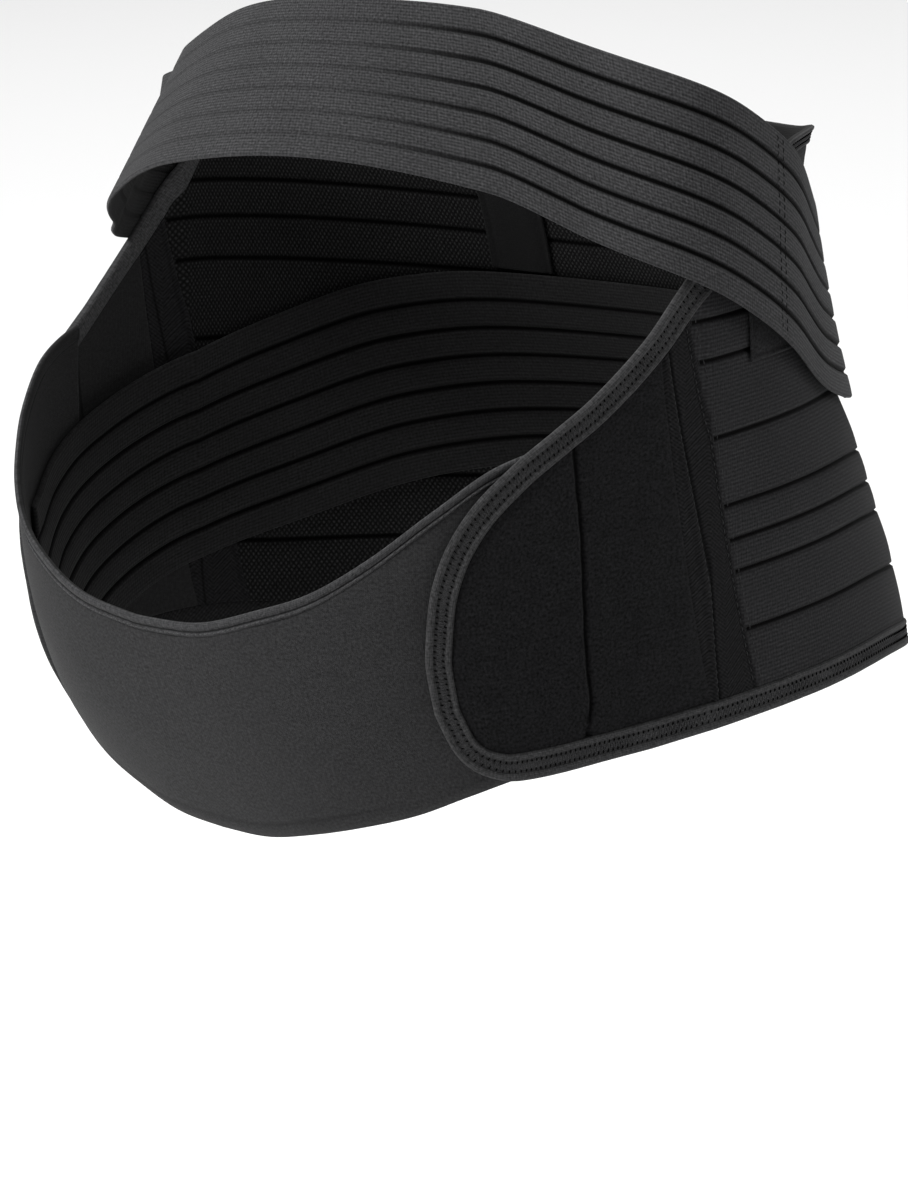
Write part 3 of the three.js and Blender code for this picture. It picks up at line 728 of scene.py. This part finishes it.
def chart_patch(name, shares, start_line, end_line, outer, slots, shade, mirror, step=ACROSS_STEP):
    """Shell between the two bindings and two slanting lines, its outer face given by outer(angle, height)."""
    low_angle, low_height = slant(shares, start_line, end_line, binding_low)
    top_angle, top_height = slant(shares, start_line, end_line, binding_top)
    tallest = np.max(top_height - low_height)
    v = steps(0, tallest, step, EDGE_LINES)[:, None] / tallest
    span = top_height - low_height
    up = (SEAM_GAP + (span - 2 * SEAM_GAP) * v) / span
    height = low_height + span * up
    side = np.where(shares < 0.5, 1, -1) * np.clip(1 - 60 * np.minimum(shares, 1 - shares), 0, 1)
    angle = low_angle + (top_angle - low_angle) * up + side * SEAM_GAP / CHART_SCALE
    width = (angle[:, -1] - angle[:, 0])[:, None] * CHART_SCALE
    aside = np.minimum(shares, 1 - shares)[None, :] * width
    inset = np.minimum(np.minimum(height - low_height, top_height - height) - SEAM_GAP, aside)
    full = edge_fullness(inset, 1.0)
    signed = mirror * angle
    outside = outer(signed, height)
    inside = shell_offset(signed) + 0 * height
    faces = rounded_wall(lambda offset: chart_point(signed, height, offset), outside, inside, full)
    cloth = np.stack([angle * CHART_SCALE, height], -1)
    return shell(name, *faces, cloth, shade(signed, height), slots)


def groove_angle(height):
    """Sewn groove of the wing, leaning a little with its height."""
    lean = 1.3 * blend(height, 80, 130)
    foot = 1.5 * blend(-height, -24, -6)
    return WING_GROOVE_ANGLE - 0.6 + 0.35 * np.sin(height / 38) - lean - foot


def wing_surface(angle, height):
    run = np.abs(angle) * CHART_SCALE
    away = (np.abs(angle) - groove_angle(height)) * CHART_SCALE
    dip = 1.15 * valley(away, 1.5)
    puff = 0.55 * np.exp(-(((np.abs(away) - 7) / 6) ** 2))
    seam = (wing_seam(height) - np.abs(angle)) * CHART_SCALE
    low = binding_low(np.abs(angle))
    high = binding_top(np.abs(angle))
    edge = np.minimum(np.minimum(height - low, high - height), np.minimum(seam, 14))
    sink = 0.5 * (1 - blend(edge, 0, 6))
    pucker = 0.2 * np.sin(height / 2.1 + 1.5 * np.sin(height / 17)) * np.exp(-((away / 5) ** 2))
    slow = 0.5 * waves(run, height, 11 if np.mean(angle) > 0 else 12, 75)
    return shell_offset(angle) + WING_THICKNESS - dip + puff - sink + slow * blend(edge, 0, 12) + pucker


def wing(side, mirror):
    half = 46
    groove_share = (WING_GROOVE_ANGLE - TIP_ANGLE) / (89 - TIP_ANGLE)
    plain = steps(0, 1, 1 / half, (0, 0.002, 0.006, 0.012))
    plain = [s for s in plain if abs(s - groove_share) > 0.045]
    close = groove_share + np.linspace(-0.04, 0.04, 17)
    shares = np.array(sorted([*plain, *close]))

    def shade(angle, height):
        away = (np.abs(angle) - groove_angle(height)) * CHART_SCALE
        # Painted shade along the wing's sewn groove.
        return 0.85 * valley(away, 1.1)

    piece = chart_patch(
        f"wing_{side}_plush", shares, tip_line, wing_seam, wing_surface,
        [PLUSH, PLUSH_INSIDE], shade, mirror, 2.4,
    )
    dress(piece, "plush", f"wing_{side}")


def tape_surface(angle, height):
    """Side tape with a sewn double seam along the wing and a stitched edge on the elastic."""
    angle_in = np.abs(angle)
    from_seam = (angle_in - wing_seam(height)) * CHART_SCALE
    to_elastic = (elastic_start(height) - angle_in) * CHART_SCALE
    ridge = 0.55 * np.exp(-(((from_seam - 1.4) / 0.8) ** 2))
    dip = 0.6 * valley(from_seam - 3.1, 0.8)
    sewn = 0.35 * valley(to_elastic - 2.0, 0.9)
    slow = 0.25 * waves(angle_in * CHART_SCALE, height, 21, 60)
    return shell_offset(angle) + ELASTIC_THICKNESS + 0.1 + ridge - dip - sewn + slow


def side_tape(side, mirror):
    shares = np.array(sorted([0, 0.006, 0.015, *np.linspace(0.03, 0.97, 44), 0.985, 0.994, 1]))

    def shade(angle, height):
        from_seam = (np.abs(angle) - wing_seam(height)) * CHART_SCALE
        to_elastic = (elastic_start(height) - np.abs(angle)) * CHART_SCALE
        # Painted shade in the seam's dip by the wing and along the stitched edge on the elastic.
        return 0.75 * valley(from_seam - 3.1, 0.7) + 0.3 * valley(to_elastic - 2.0, 0.8)

    piece = chart_patch(
        f"side_tape_{side}_twill", shares, wing_seam, elastic_start, tape_surface,
        [TWILL, TWILL], shade, mirror,
    )
    dress(piece, "twill", f"side_tape_{side}")


# Edge binding


BINDING_PROFILE = table(
    "across rise",
    (0.0, 0.1), (0.04, 0.7), (0.1, 1.08), (0.16, 1.15), (0.22, 1.0), (0.27, 0.6), (0.31, 0.3), (0.38, 0.25),
    (0.5, 0.42), (0.62, 0.36), (0.7, 0.2), (0.75, 0.35), (0.8, 0.7), (0.86, 0.82), (0.93, 0.62), (0.975, 0.1),
    (1.0, -0.5),
)
# Painted shade across the binding: in its two stitched channels and at its edge tucked against the panel.
BINDING_PAINTED_SHADE = table(
    "across dark",
    (0.0, 0.1), (0.16, 0.0), (0.25, 0.05), (0.31, 0.4), (0.4, 0.1), (0.6, 0.1), (0.71, 0.4), (0.78, 0.1),
    (0.86, 0.0), (0.93, 0.15), (1.0, 0.9),
)


def binding_width(angle, is_top):
    narrow = np.where(angle < 0, blend(-angle, 58, 80), blend(angle, 92, 112)) * is_top
    return BINDING_WIDTH + (TOP_BINDING_WIDTH - BINDING_WIDTH) * narrow


def binding_path():
    """Chart path of the binding's inner edge, once round: angle, height, and 1 along the top edge."""
    wing_shares = np.concatenate([np.linspace(0, 0.12, 14)[:-1], np.linspace(0.12, 1, 40)])
    tape_shares = np.linspace(0, 1, 8)[1:]
    back_shares = np.linspace(0, 1, 96)[1:]

    def run(edge):
        parts = [
            slant(wing_shares, tip_line, wing_seam, edge),
            slant(tape_shares, wing_seam, elastic_start, edge),
            slant(back_shares, elastic_start, spine_line, edge),
        ]
        return [np.concatenate(p) for p in zip(*parts)]

    low_angle, low_height = run(binding_low)
    top_angle, top_height = run(binding_top)
    tip = np.linspace(0, 1, 9)[1:-1]
    tip_height = top_height[0] + (low_height[0] - top_height[0]) * tip
    angle = np.concatenate([top_angle[::-1], TIP_ANGLE + 0 * tip, low_angle])
    height = np.concatenate([top_height[::-1], tip_height, low_height])
    is_top = np.concatenate([np.ones(len(top_angle)), 0 * tip, np.zeros(len(low_angle))])
    angle = np.concatenate([angle[:-1], -angle[::-1][:-1]])
    height = np.concatenate([height[:-1], height[::-1][:-1]])
    is_top = np.concatenate([is_top[:-1], is_top[::-1][:-1]])
    return angle, height, is_top


def turned(step):
    return (step + 180) % 360 - 180


class BindingRing:
    """Even stations along the binding, with places across it."""

    def __init__(self, step):
        angle, height, is_top = binding_path()
        width = binding_width(angle, is_top)
        moves = np.hypot(turned(np.roll(angle, -1) - angle) * CHART_SCALE, np.roll(height, -1) - height)
        reach = np.concatenate([[0], np.cumsum(moves)])
        self.length = reach[-1]
        count = int(self.length / step)
        self.along = np.arange(count) * self.length / count
        unrolled = np.concatenate([[angle[0]], angle[0] + np.cumsum(turned(np.roll(angle, -1) - angle))])
        self.angle = turned(np.interp(self.along, reach, unrolled))
        self.height = np.interp(self.along, reach, np.append(height, height[0]))
        self.width = np.interp(self.along, reach, np.append(width, width[0]))
        back, ahead = np.roll(self.angle, 4), np.roll(self.angle, -4)
        out_u = np.roll(self.height, -4) - np.roll(self.height, 4)
        out_v = -turned(ahead - back) * CHART_SCALE
        size = np.hypot(out_u, out_v)
        self.out_u, self.out_v = out_u / size, out_v / size

    def place(self, across, offset, pick=slice(None)):
        """Points at a share across the binding, 0 at its free edge, and an offset from its own inner face."""
        reach = self.width[pick] * (1 - across)
        angle = self.angle[pick] + self.out_u[pick] * reach / CHART_SCALE
        height = self.height[pick] + self.out_v[pick] * reach
        return chart_point(angle, height, shell_offset(angle) + offset)


def binding_rise(across):
    return look_up(BINDING_PROFILE, "rise", across)


def edge_binding():
    ring = BindingRing(2.0)
    between = (0.02, 0.07, 0.14, 0.22, 0.285, 0.45, 0.55, 0.76, 0.9)
    across = np.array(sorted({*BINDING_PROFILE["across"], *between}))
    rolls = 0.12 * waves(ring.along, 0 * ring.along, 31, 24)
    pulls = 0.5 + 0.5 * np.sin(2 * math.pi * ring.along / 2.1)
    outer = []
    for a in across:
        sewn = valley(a - 0.52, 0.2)
        offset = WING_THICKNESS + 1.1 * binding_rise(a) + rolls - 0.14 * pulls * sewn
        outer.append(ring.place(a, offset))
    inner_across = np.array([1.0, 0.93, 0.7, 0.4, 0.12, 0.03])
    inner_offset = np.array([0.35, 0.0, 0.0, 0.0, 0.1, 0.7])
    inner = [ring.place(a, o) for a, o in zip(inner_across, inner_offset)]
    sections = np.stack([*outer, *inner], 1)
    every = np.concatenate([across, inner_across])
    width = ring.width[:, None]
    cloth = np.stack([np.broadcast_to(ring.along[:, None], (len(ring.along), len(every))), width * every], -1)
    # Painted shade on the binding: its channels and tucked edge, and the inner strips darker by their folded
    # edge.
    dark = np.concatenate([look_up(BINDING_PAINTED_SHADE, "dark", across), [0.5, 0.1, 0, 0, 0, 0]])
    shade = np.broadcast_to(dark, cloth.shape[:2])
    inner_strips = np.arange(len(every)) >= len(across) - 1
    # Painted shade: inner strips at the hem and round the back take the darker shaded copy of the binding, and
    # those high at the back the casing's near-black.
    dim = ((ring.height < 0.1 * PANEL_HEIGHT) | (np.abs(ring.angle) > 105))[:, None]
    rim = ((ring.height > 0.5 * PANEL_HEIGHT) & (np.abs(ring.angle) > 105))[:, None]
    kinds = np.where(inner_strips[None, :] & dim, 1 + rim, 0)
    slots = [BINDING, BINDING_SHADED_INSIDE, CASING_AND_DEEP_SHADE]
    piece = swept("edge_binding_tape", sections, cloth, shade, slots, kinds, True)
    dress(piece, "twill", "edge_binding")
    binding_stitching()


def binding_stitching():
    """Zigzag thread along the binding's channel."""
    ring = BindingRing(1.05)
    count = len(ring.along) // 2 * 2
    even, odd = np.arange(0, count, 2), np.arange(1, count, 2)
    base = WING_THICKNESS + 0.12
    low, high = 0.36, 0.68
    near = ring.place(low, base + 1.1 * binding_rise(low), even)
    far = ring.place(high, base + 1.1 * binding_rise(high), odd)
    following = np.roll(near, -1, axis=0)
    starts = np.concatenate([near, far])
    ends = np.concatenate([far, following])
    top = ring.place(low, base + 2, even) - ring.place(low, base + 1, even)
    lifts = np.concatenate([top, top])
    piece = stitches("edge_binding_zigzag", starts, ends, lifts, 0.24, THREAD)
    dress(piece, "twill")
    # Needle holes drawn as near-black dots: painted shade in the holes.
    across_hole = (far - near) * 0.2
    ahead = (following - near) * 0.5
    dots = np.concatenate([near + ahead, far + ahead])
    slants = np.concatenate([across_hole, across_hole])
    holes = stitches("edge_binding_needle_hole_shade", dots - slants, dots + slants, lifts, 0.3, HOLE_SHADE)
    dress(holes, "twill")


# Belly cradle


def cradle_edge(angle, edge):
    share = look_up(CRADLE, edge, np.abs(angle))
    depth = -CRADLE_DEPTH_BELOW_HEM / CRADLE["low"][0]
    return np.where(share < 0, share * depth, share * PANEL_HEIGHT)


def cradle_relief(angle, z):
    """Soft fullness of the cradle, fading out towards its ends."""
    slow = 0.9 * waves(angle * 2.2, z, 41, 120)
    return slow * blend(np.abs(angle), 70, 45)


def front_panel():
    columns = steps(CRADLE_RIGHT_END, CRADLE_END_ANGLE, 1.15, (0, 0.1, 0.3, 0.6))
    low = cradle_edge(columns, "low")
    high = cradle_edge(columns, "rim") - CRADLE_BINDING_WIDTH + 0.9
    tallest = np.max(high - low)
    v = steps(0, tallest, 2.2, EDGE_LINES)[:, None] / tallest
    z = low + (high - low) * v
    angle = np.broadcast_to(columns, z.shape)
    relief = cradle_relief(angle, z)
    above = z - low
    hem = -1.6 * (1 - blend(above, 0, 4.5)) ** 1.5
    ditch = -0.25 * valley(above - 6.5, 1.0)
    seam = -0.35 * (1 - blend(high - z, 0, 1.5))
    aside = np.minimum(CRADLE_END_ANGLE - angle, angle - CRADLE_RIGHT_END) * CRADLE_RIM_SCALE
    full = edge_fullness(np.minimum(np.minimum(above, high - z), aside), 1.0)
    inner = CRADLE_OFFSET + 0.3 * relief + np.minimum(hem, 0)
    outer = CRADLE_FACE + 0.75 * np.minimum(relief, 0.6) + hem + ditch + seam
    faces = rounded_wall(lambda offset: section_point(angle, z, offset), outer, inner, full)
    cloth = np.stack([angle * CRADLE_SCALE, z], -1)
    # Painted shade in the ditch sewn above the hem.
    dark = 0.35 * valley(above - 6.5, 0.8)
    piece = shell("front_panel_cloth", *faces, cloth, dark, [SMOOTH, SMOOTH_INSIDE_SHADED])
    return dress(piece, "smooth", "front_panel")


RIM_PROFILE = table(
    "across rise",
    (0.0, -0.5), (0.04, 0.05), (0.12, 0.42), (0.22, 0.5), (0.31, 0.25), (0.37, -0.25), (0.43, 0.1),
    (0.55, 0.55), (0.72, 0.85), (0.88, 0.75), (0.97, 0.2), (1.0, -0.4),
)
# Painted shade across the rim tape: at its lower edge and in its sewn groove.
RIM_PAINTED_SHADE = table(
    "across dark",
    (0.0, 0.75), (0.06, 0.35), (0.16, 0.0), (0.3, 0.1), (0.37, 0.75), (0.44, 0.1), (1.0, 0.0),
)


def front_binding():
    columns = steps(CRADLE_RIGHT_END, CRADLE_END_ANGLE, 0.8)
    rim = cradle_edge(columns, "rim")
    relief = 0.5 * np.minimum(cradle_relief(columns, rim), 0.6)
    pulls = 0.5 + 0.5 * np.sin(2 * math.pi * columns * CRADLE_RIM_SCALE / 2.6)
    across = np.array(sorted({*RIM_PROFILE["across"], 0.08, 0.17, 0.27, 0.34, 0.4, 0.48, 0.64, 0.8}))
    outer = []
    for a in across:
        sewn = valley(a - 0.4, 0.12)
        offset = CRADLE_FACE + look_up(RIM_PROFILE, "rise", a) + relief - 0.12 * pulls * sewn
        outer.append(section_point(columns, rim - CRADLE_BINDING_WIDTH * (1 - a), offset))
    inner_across = np.array([0.97, 0.8, 0.5, 0.2, 0.03])
    inner_offset = np.array([0.5, 0.1, 0.0, 0.0, 0.3])
    inner = [
        section_point(columns, rim - CRADLE_BINDING_WIDTH * (1 - a), CRADLE_OFFSET + o)
        for a, o in zip(inner_across, inner_offset)
    ]
    sections = np.stack([*outer, *inner], 1)
    every = np.concatenate([across, inner_across])
    shape = sections.shape[:2]
    run = np.broadcast_to(columns[:, None] * CRADLE_RIM_SCALE, shape)
    cloth = np.stack([run, np.broadcast_to(every * CRADLE_BINDING_WIDTH, shape)], -1)
    dark = np.concatenate([look_up(RIM_PAINTED_SHADE, "dark", across), np.zeros(len(inner_across))])
    # Painted shade: the rim tape's inner strips take the darker shaded backing instead of the tape.
    kinds = np.array([0] * (len(across) - 1) + [1] * (len(inner_across) + 1))
    shade = np.broadcast_to(dark, shape)
    piece = swept("front_binding_tape", sections, cloth, shade, [RIM, SMOOTH_INSIDE_SHADED], kinds, False)
    dress(piece, "smooth", "front_binding")
    angles = np.linspace(-58, 66, 260)

    def surface(angle, z):
        return section_point(angle, z, CRADLE_FACE + 0.42)

    path = np.stack([angles, cradle_edge(angles, "rim") - CRADLE_BINDING_WIDTH * 0.78], -1)
    thread_run = running_stitches(surface, path, 1.9, 0.7)
    dress(stitches("front_binding_stitching", *thread_run, 0.2, LIGHT_THREAD), "smooth")


# Bands


def section_reach(turn, z):
    """Reach of the body space straight out from the middle at a true angle."""
    width, reach, power = section_sizes(turn, z)
    side = np.abs(np.sin(turn) / width) ** power
    ahead = np.abs(np.cos(turn) / reach) ** power
    return (side + ahead) ** (-1 / power)


def belly_band_edge(angle, reach_name, height_name, from_angle, front_clearance):
    """Edge of the belly band: free over the belly, close outside the panel over the hips."""
    turn = np.radians(angle)
    z = PANEL_HEIGHT * look_up(BELLY_BAND, height_name, angle)
    free = HIP_HALF_WIDTH * look_up(BELLY_BAND, reach_name, angle)
    behind = blend(np.abs(angle), 98, 114)
    clearance = front_clearance + (BELLY_BAND_CLEARANCE - front_clearance) * behind
    close = section_reach(turn, z) + clearance
    reach = free + (close - free) * blend(np.abs(angle), from_angle, from_angle + HIP_BLEND)
    return np.stack([reach * np.sin(turn), -reach * np.cos(turn), z], -1)


def belly_band_low(angle):
    return belly_band_edge(angle, "lowReach", "low", LOW_HIP_ANGLE, BELLY_BAND_EDGE_CLEARANCE)


def belly_band_top(angle):
    return belly_band_edge(angle, "topReach", "top", TOP_HIP_ANGLE, BELLY_BAND_TOP_CLEARANCE)


def belly_band_point(angle, share, offset):
    """Points on the belly band at a share of its width from the lower edge."""
    low, top = belly_band_low(angle), belly_band_top(angle)
    along = belly_band_low(angle + 1) - belly_band_low(angle - 1)
    normal = np.cross(along, top - low)
    normal /= np.linalg.norm(normal, axis=-1, keepdims=True)
    share, offset = np.asarray(share)[..., None], np.asarray(offset)[..., None]
    return low + (top - low) * share + normal * offset


def band_relief(across, grooves, span, depth):
    return -depth * grooves_at(across, grooves, 1.3) + 0.22 * ribs_at(across, grooves, span)


def belly_band():
    grooves = np.arange(1, BAND_RIBS) / BAND_RIBS * BELLY_BAND_WIDTH
    across = groove_steps(grooves, 1.4, BELLY_BAND_WIDTH, ACROSS_STEP)
    columns = steps(-BELLY_BAND_END, BELLY_BAND_END, 1.0, (0, 0.08, 0.2, 0.4))
    line = belly_band_low(columns) / 2 + belly_band_top(columns) / 2
    run = np.concatenate([[0], np.cumsum(np.linalg.norm(np.diff(line, axis=0), axis=1))])
    angle, h = np.meshgrid(columns, across)
    along = np.broadcast_to(run, h.shape)
    pull = 0.12 + 0.88 * blend(angle, 32, 68)
    uneven = 0.5 * waves(along, h, 51, 110)
    relief = band_relief(h + 0.2 * uneven, grooves, BELLY_BAND_WIDTH, 1.0)
    aside = np.minimum(np.minimum(h, BELLY_BAND_WIDTH - h), np.minimum(along, run[-1] - along))
    full = edge_fullness(aside, 0.9)
    outer = BAND_THICKNESS + relief * pull + 0.3 * uneven
    crown = 0.1 * ribs_at(h, grooves, BELLY_BAND_WIDTH)
    inner = 0.55 * grooves_at(h, grooves, 1.2) - crown + 0.15 + 0.3 * uneven
    share = h / BELLY_BAND_WIDTH
    faces = rounded_wall(lambda offset: belly_band_point(angle, share, offset), outer, inner, full)
    cloth = np.stack([along, h], -1)
    # Painted shade in the grooves, deepest from the front round to the wearer's left hip, where the band is
    # pulled open.
    dark = np.minimum(1, 1.7 * grooves_at(h, grooves, 1.25)) * (0.08 + 0.92 * pull)
    piece = shell("belly_band_elastic", *faces, cloth, dark, [RIBBED, RIBBED_SHADED_INSIDE])
    dress(piece, "ribbed", "belly_band")

    def surface(a, h_at):
        crest = 0.35 * ribs_at(h_at, grooves, BELLY_BAND_WIDTH)
        return belly_band_point(a, h_at / BELLY_BAND_WIDTH, BAND_THICKNESS + crest)

    runs = []
    for side in (-1, 1):
        for place in (101.0, 102.2):
            path = np.stack([np.full(60, side * place), np.linspace(1.5, BELLY_BAND_WIDTH - 1.5, 60)], -1)
            runs.append(running_stitches(surface, path, 2.0, 1.1))
    # The seam's stitches take the near-black needle-hole colour: painted shade of a sunk stitch line.
    dress(stitches("belly_band_stitching", *joined_runs(runs), 0.15, HOLE_SHADE), "ribbed")


def lumbar_band():
    grooves = np.arange(1, BAND_RIBS) / BAND_RIBS * LUMBAR_BAND_WIDTH
    across = groove_steps(grooves, 1.5, LUMBAR_BAND_WIDTH, ACROSS_STEP)
    shares = np.array(sorted({*np.linspace(-1, 0, 56)[:-1], *np.linspace(0, 1, 96), -0.9992, -0.997}))
    share, h = np.meshgrid(shares, across)
    angle = 90 + 0 * share
    height = 0 * share
    for _ in range(8):
        height = PANEL_HEIGHT * look_up(LUMBAR, "height", angle) + h - LUMBAR_BAND_WIDTH / 2
        start = elastic_start(height)
        angle = start + np.where(share < 0, start - LUMBAR_BAND_END, 180 - start) * share
    height, h = both_sides(height), both_sides(h)
    angle = np.concatenate([angle, -angle[:, -2::-1]], 1)
    run = np.where(angle > 0, angle, 360 + angle) * CHART_SCALE
    ends = np.abs(run - 180 * CHART_SCALE)
    aside = np.minimum(np.minimum(h, LUMBAR_BAND_WIDTH - h), np.max(ends, axis=1, keepdims=True) - ends)
    full = edge_fullness(aside, 0.9)
    uneven = 0.3 * waves(run, h, 61, 90)
    outer = BAND_THICKNESS - 0.4 * grooves_at(h, grooves, 1.2)
    inner = -band_relief(h, grooves, LUMBAR_BAND_WIDTH, 1.0) + uneven - 0.2
    faces = rounded_wall(lambda offset: chart_point(angle, height, offset), outer, inner, full)
    cloth = np.stack([run, h], -1)
    # Painted shade in the grooves; both faces take the shaded copy of the ribbed elastic, as the band lies
    # inside the belt.
    dark = np.minimum(1, 1.5 * grooves_at(h, grooves, 1.3))
    piece = shell("lumbar_band_elastic", *faces, cloth, dark, [RIBBED_SHADED_INSIDE, RIBBED_SHADED_INSIDE])
    dress(piece, "ribbed", "lumbar_band")


# Small trims


def trim(name, columns, rows, faces_at, seam, painted_shade_strength, material, mirror, along_height):
    """Small sewn-down patch; faces_at(angle, height, aside, sewn) gives its outer and inner offsets."""
    angle, height = np.meshgrid(columns, rows)
    aside = np.minimum(angle - columns[0], columns[-1] - angle) * CHART_SCALE
    inset = np.minimum(aside, np.minimum(height - rows[0], rows[-1] - height))
    sewn = valley((aside if along_height else inset) - seam, 0.8)
    signed = mirror * angle
    faces = rounded_wall(
        lambda offset: chart_point(signed, height, offset),
        *faces_at(angle, height, aside, sewn), edge_fullness(inset, 0.8),
    )
    across = [height, angle * CHART_SCALE] if along_height else [angle * CHART_SCALE, height]
    # Painted shade along the sewn line.
    return shell(name, *faces, np.stack(across, -1), painted_shade_strength * sewn, [material, material])


def casing(side, mirror):
    half = CASING_WIDTH / CHART_SCALE / 2
    columns = steps(CASING_ANGLE - half, CASING_ANGLE + half, 0.45, (0, 0.1, 0.25))
    low = PANEL_HEIGHT * look_up(LUMBAR, "height", CASING_ANGLE) + LUMBAR_BAND_WIDTH / 2 + 2 * LAYER_GAP
    rows = steps(low, binding_top(180) - 0.5, ACROSS_STEP, EDGE_LINES)

    def faces_at(angle, height, aside, sewn):
        outer = BACK_OFFSET - LAYER_GAP + 0 * angle
        return outer, outer - TRIM_THICKNESS - 0.5 * blend(aside, 2.5, 7) + 0.5 * sewn

    piece = trim(f"casing_{side}_tape", columns, rows, faces_at, 2.0, 0.6, CASING_AND_DEEP_SHADE, mirror, True)
    dress(piece, "twill", f"casing_{side}")


def loop_patch(side, mirror):
    columns = steps(PATCH_ANGLE, PATCH_ANGLE + PATCH_WIDTH / CHART_SCALE, 0.7, (0, 0.1, 0.25, 0.45))
    rows = steps(PATCH_LOW_EDGE, PATCH_LOW_EDGE + PATCH_HEIGHT, 1.8, EDGE_LINES)

    def faces_at(angle, height, aside, sewn):
        rumple = 0.1 * waves(angle * 2.6, height, 71, 20)
        return PATCH_OFFSET + TRIM_THICKNESS + rumple - 0.45 * sewn, PATCH_OFFSET + 0.25 + 0 * angle

    piece = trim(f"loop_patch_{side}_pile", columns, rows, faces_at, 2.2, 0.5, LOOP, mirror, False)
    dress(piece, "plush", f"loop_patch_{side}")


def seam_stitching():
    """Straight stitches along the wing seams and on both sides of the tape's edge on the elastic."""
    runs = []
    for mirror in (1, -1):
        def surface(angle, height, mirror=mirror):
            signed = mirror * angle
            return chart_point(signed, height, shell_offset(signed) + ELASTIC_THICKNESS + 0.2)

        for line, aside in ((wing_seam, 0.9), (elastic_start, -0.75), (elastic_start, 0.6)):
            bottom = 0.045 * PANEL_HEIGHT + 1
            heights = np.linspace(bottom, 176, 300)
            angles = line(heights) + aside
            keep = heights < binding_top(angles) - 1
            path = np.stack([angles[keep], heights[keep]], -1)
            start, end, lift = running_stitches(surface, path, 2.1, 1.3)
            runs.append((start, end, lift * mirror))
    dress(stitches("seam_stitching", *joined_runs(runs), 0.17, THREAD), "twill")


back_panel()
for side_name, side_sign in (("left", 1), ("right", -1)):
    side_tape(side_name, side_sign)
    wing(side_name, side_sign)
    casing(side_name, side_sign)
    loop_patch(side_name, side_sign)
edge_binding()
cradle = front_panel()
front_binding()
belly_band()
lumbar_band()
seam_stitching()


# Camera, floor and light

CAMERA_AZIMUTH = 51.5
CAMERA_ELEVATION = 12.95
CAMERA_ROLL = -1.07
CAMERA_DISTANCE = 3600
CAMERA_TARGET = (9.08, -1.82, 27.02)
FOCAL_PIXELS = 9251.5
FRAME_HEIGHT_PIXELS = 1200
SENSOR = 36
FLOOR_HEIGHT = -260
FLOOR_HALF_WIDTH = 12  # metres


def camera():
    a, e, roll = [math.radians(x) for x in (CAMERA_AZIMUTH, CAMERA_ELEVATION, CAMERA_ROLL)]
    back = Vector((math.sin(a) * math.cos(e), -math.cos(a) * math.cos(e), math.sin(e)))
    right = Vector((math.cos(a), math.sin(a), 0))
    up = back.cross(right)
    tilted_right = right * math.cos(roll) + up * math.sin(roll)
    tilted_up = up * math.cos(roll) - right * math.sin(roll)
    data = bpy.data.cameras.new("camera")
    data.sensor_width = SENSOR
    data.lens = FOCAL_PIXELS / FRAME_HEIGHT_PIXELS * SENSOR
    data.clip_end = 100
    made = bpy.data.objects.new("camera", data)
    bpy.context.scene.collection.objects.link(made)
    turn = Matrix((tilted_right, tilted_up, back)).transposed()
    place = (Vector(CAMERA_TARGET) + back * CAMERA_DISTANCE) * MM
    made.matrix_world = Matrix.Translation(place) @ turn.to_4x4()
    bpy.context.scene.camera = made
    return back, right


def softbox(name, place, size, power):
    """Square area light that faces the belt."""
    data = bpy.data.lights.new(name, "AREA")
    data.shape = "SQUARE"
    data.size = size
    data.energy = power
    lamp = bpy.data.objects.new(name, data)
    bpy.context.scene.collection.objects.link(lamp)
    lamp.location = place
    lamp.rotation_mode = "QUATERNION"
    aim = Vector((0, 0, 0.08)) - Vector(place)
    lamp.rotation_quaternion = aim.to_track_quat("-Z", "Y")


def floor():
    data = bpy.data.meshes.new("floor")
    far = FLOOR_HALF_WIDTH
    z = FLOOR_HEIGHT * MM
    corners = [(-far, -far, z), (far, -far, z), (far, far, z), (-far, far, z)]
    data.from_pydata(corners, [], [(0, 1, 2, 3)])
    material = bpy.data.materials.new("pale_floor")
    material.use_nodes = True
    shader = material.node_tree.nodes["Principled BSDF"]
    shader.inputs["Base Color"].default_value = (0.9, 0.9, 0.9, 1)
    shader.inputs["Roughness"].default_value = 0.9
    data.materials.append(material)
    piece = bpy.data.objects.new("floor", data)
    bpy.context.scene.collection.objects.link(piece)


back, right = camera()
floor()
softbox("key", (-right * 1.6 + back * 0.75) + Vector((0, 0, 1.35)), 0.9, 74)
softbox("fill", (right * 1.7 + back * 0.7) + Vector((0, 0, 0.9)), 1.2, 19)
softbox("backdrop", Vector((-2.4, 1.9, 2.6)), 2.6, 60)
softbox("top", Vector((0.1, 0.2, 2.1)), 1.4, 15)
world = bpy.data.worlds.new("studio")
world.use_nodes = True
world.node_tree.nodes["Background"].inputs["Color"].default_value = (1, 1, 1, 1)
world.node_tree.nodes["Background"].inputs["Strength"].default_value = 0.36
bpy.context.scene.world = world
bpy.context.scene.view_settings.view_transform = "Standard"
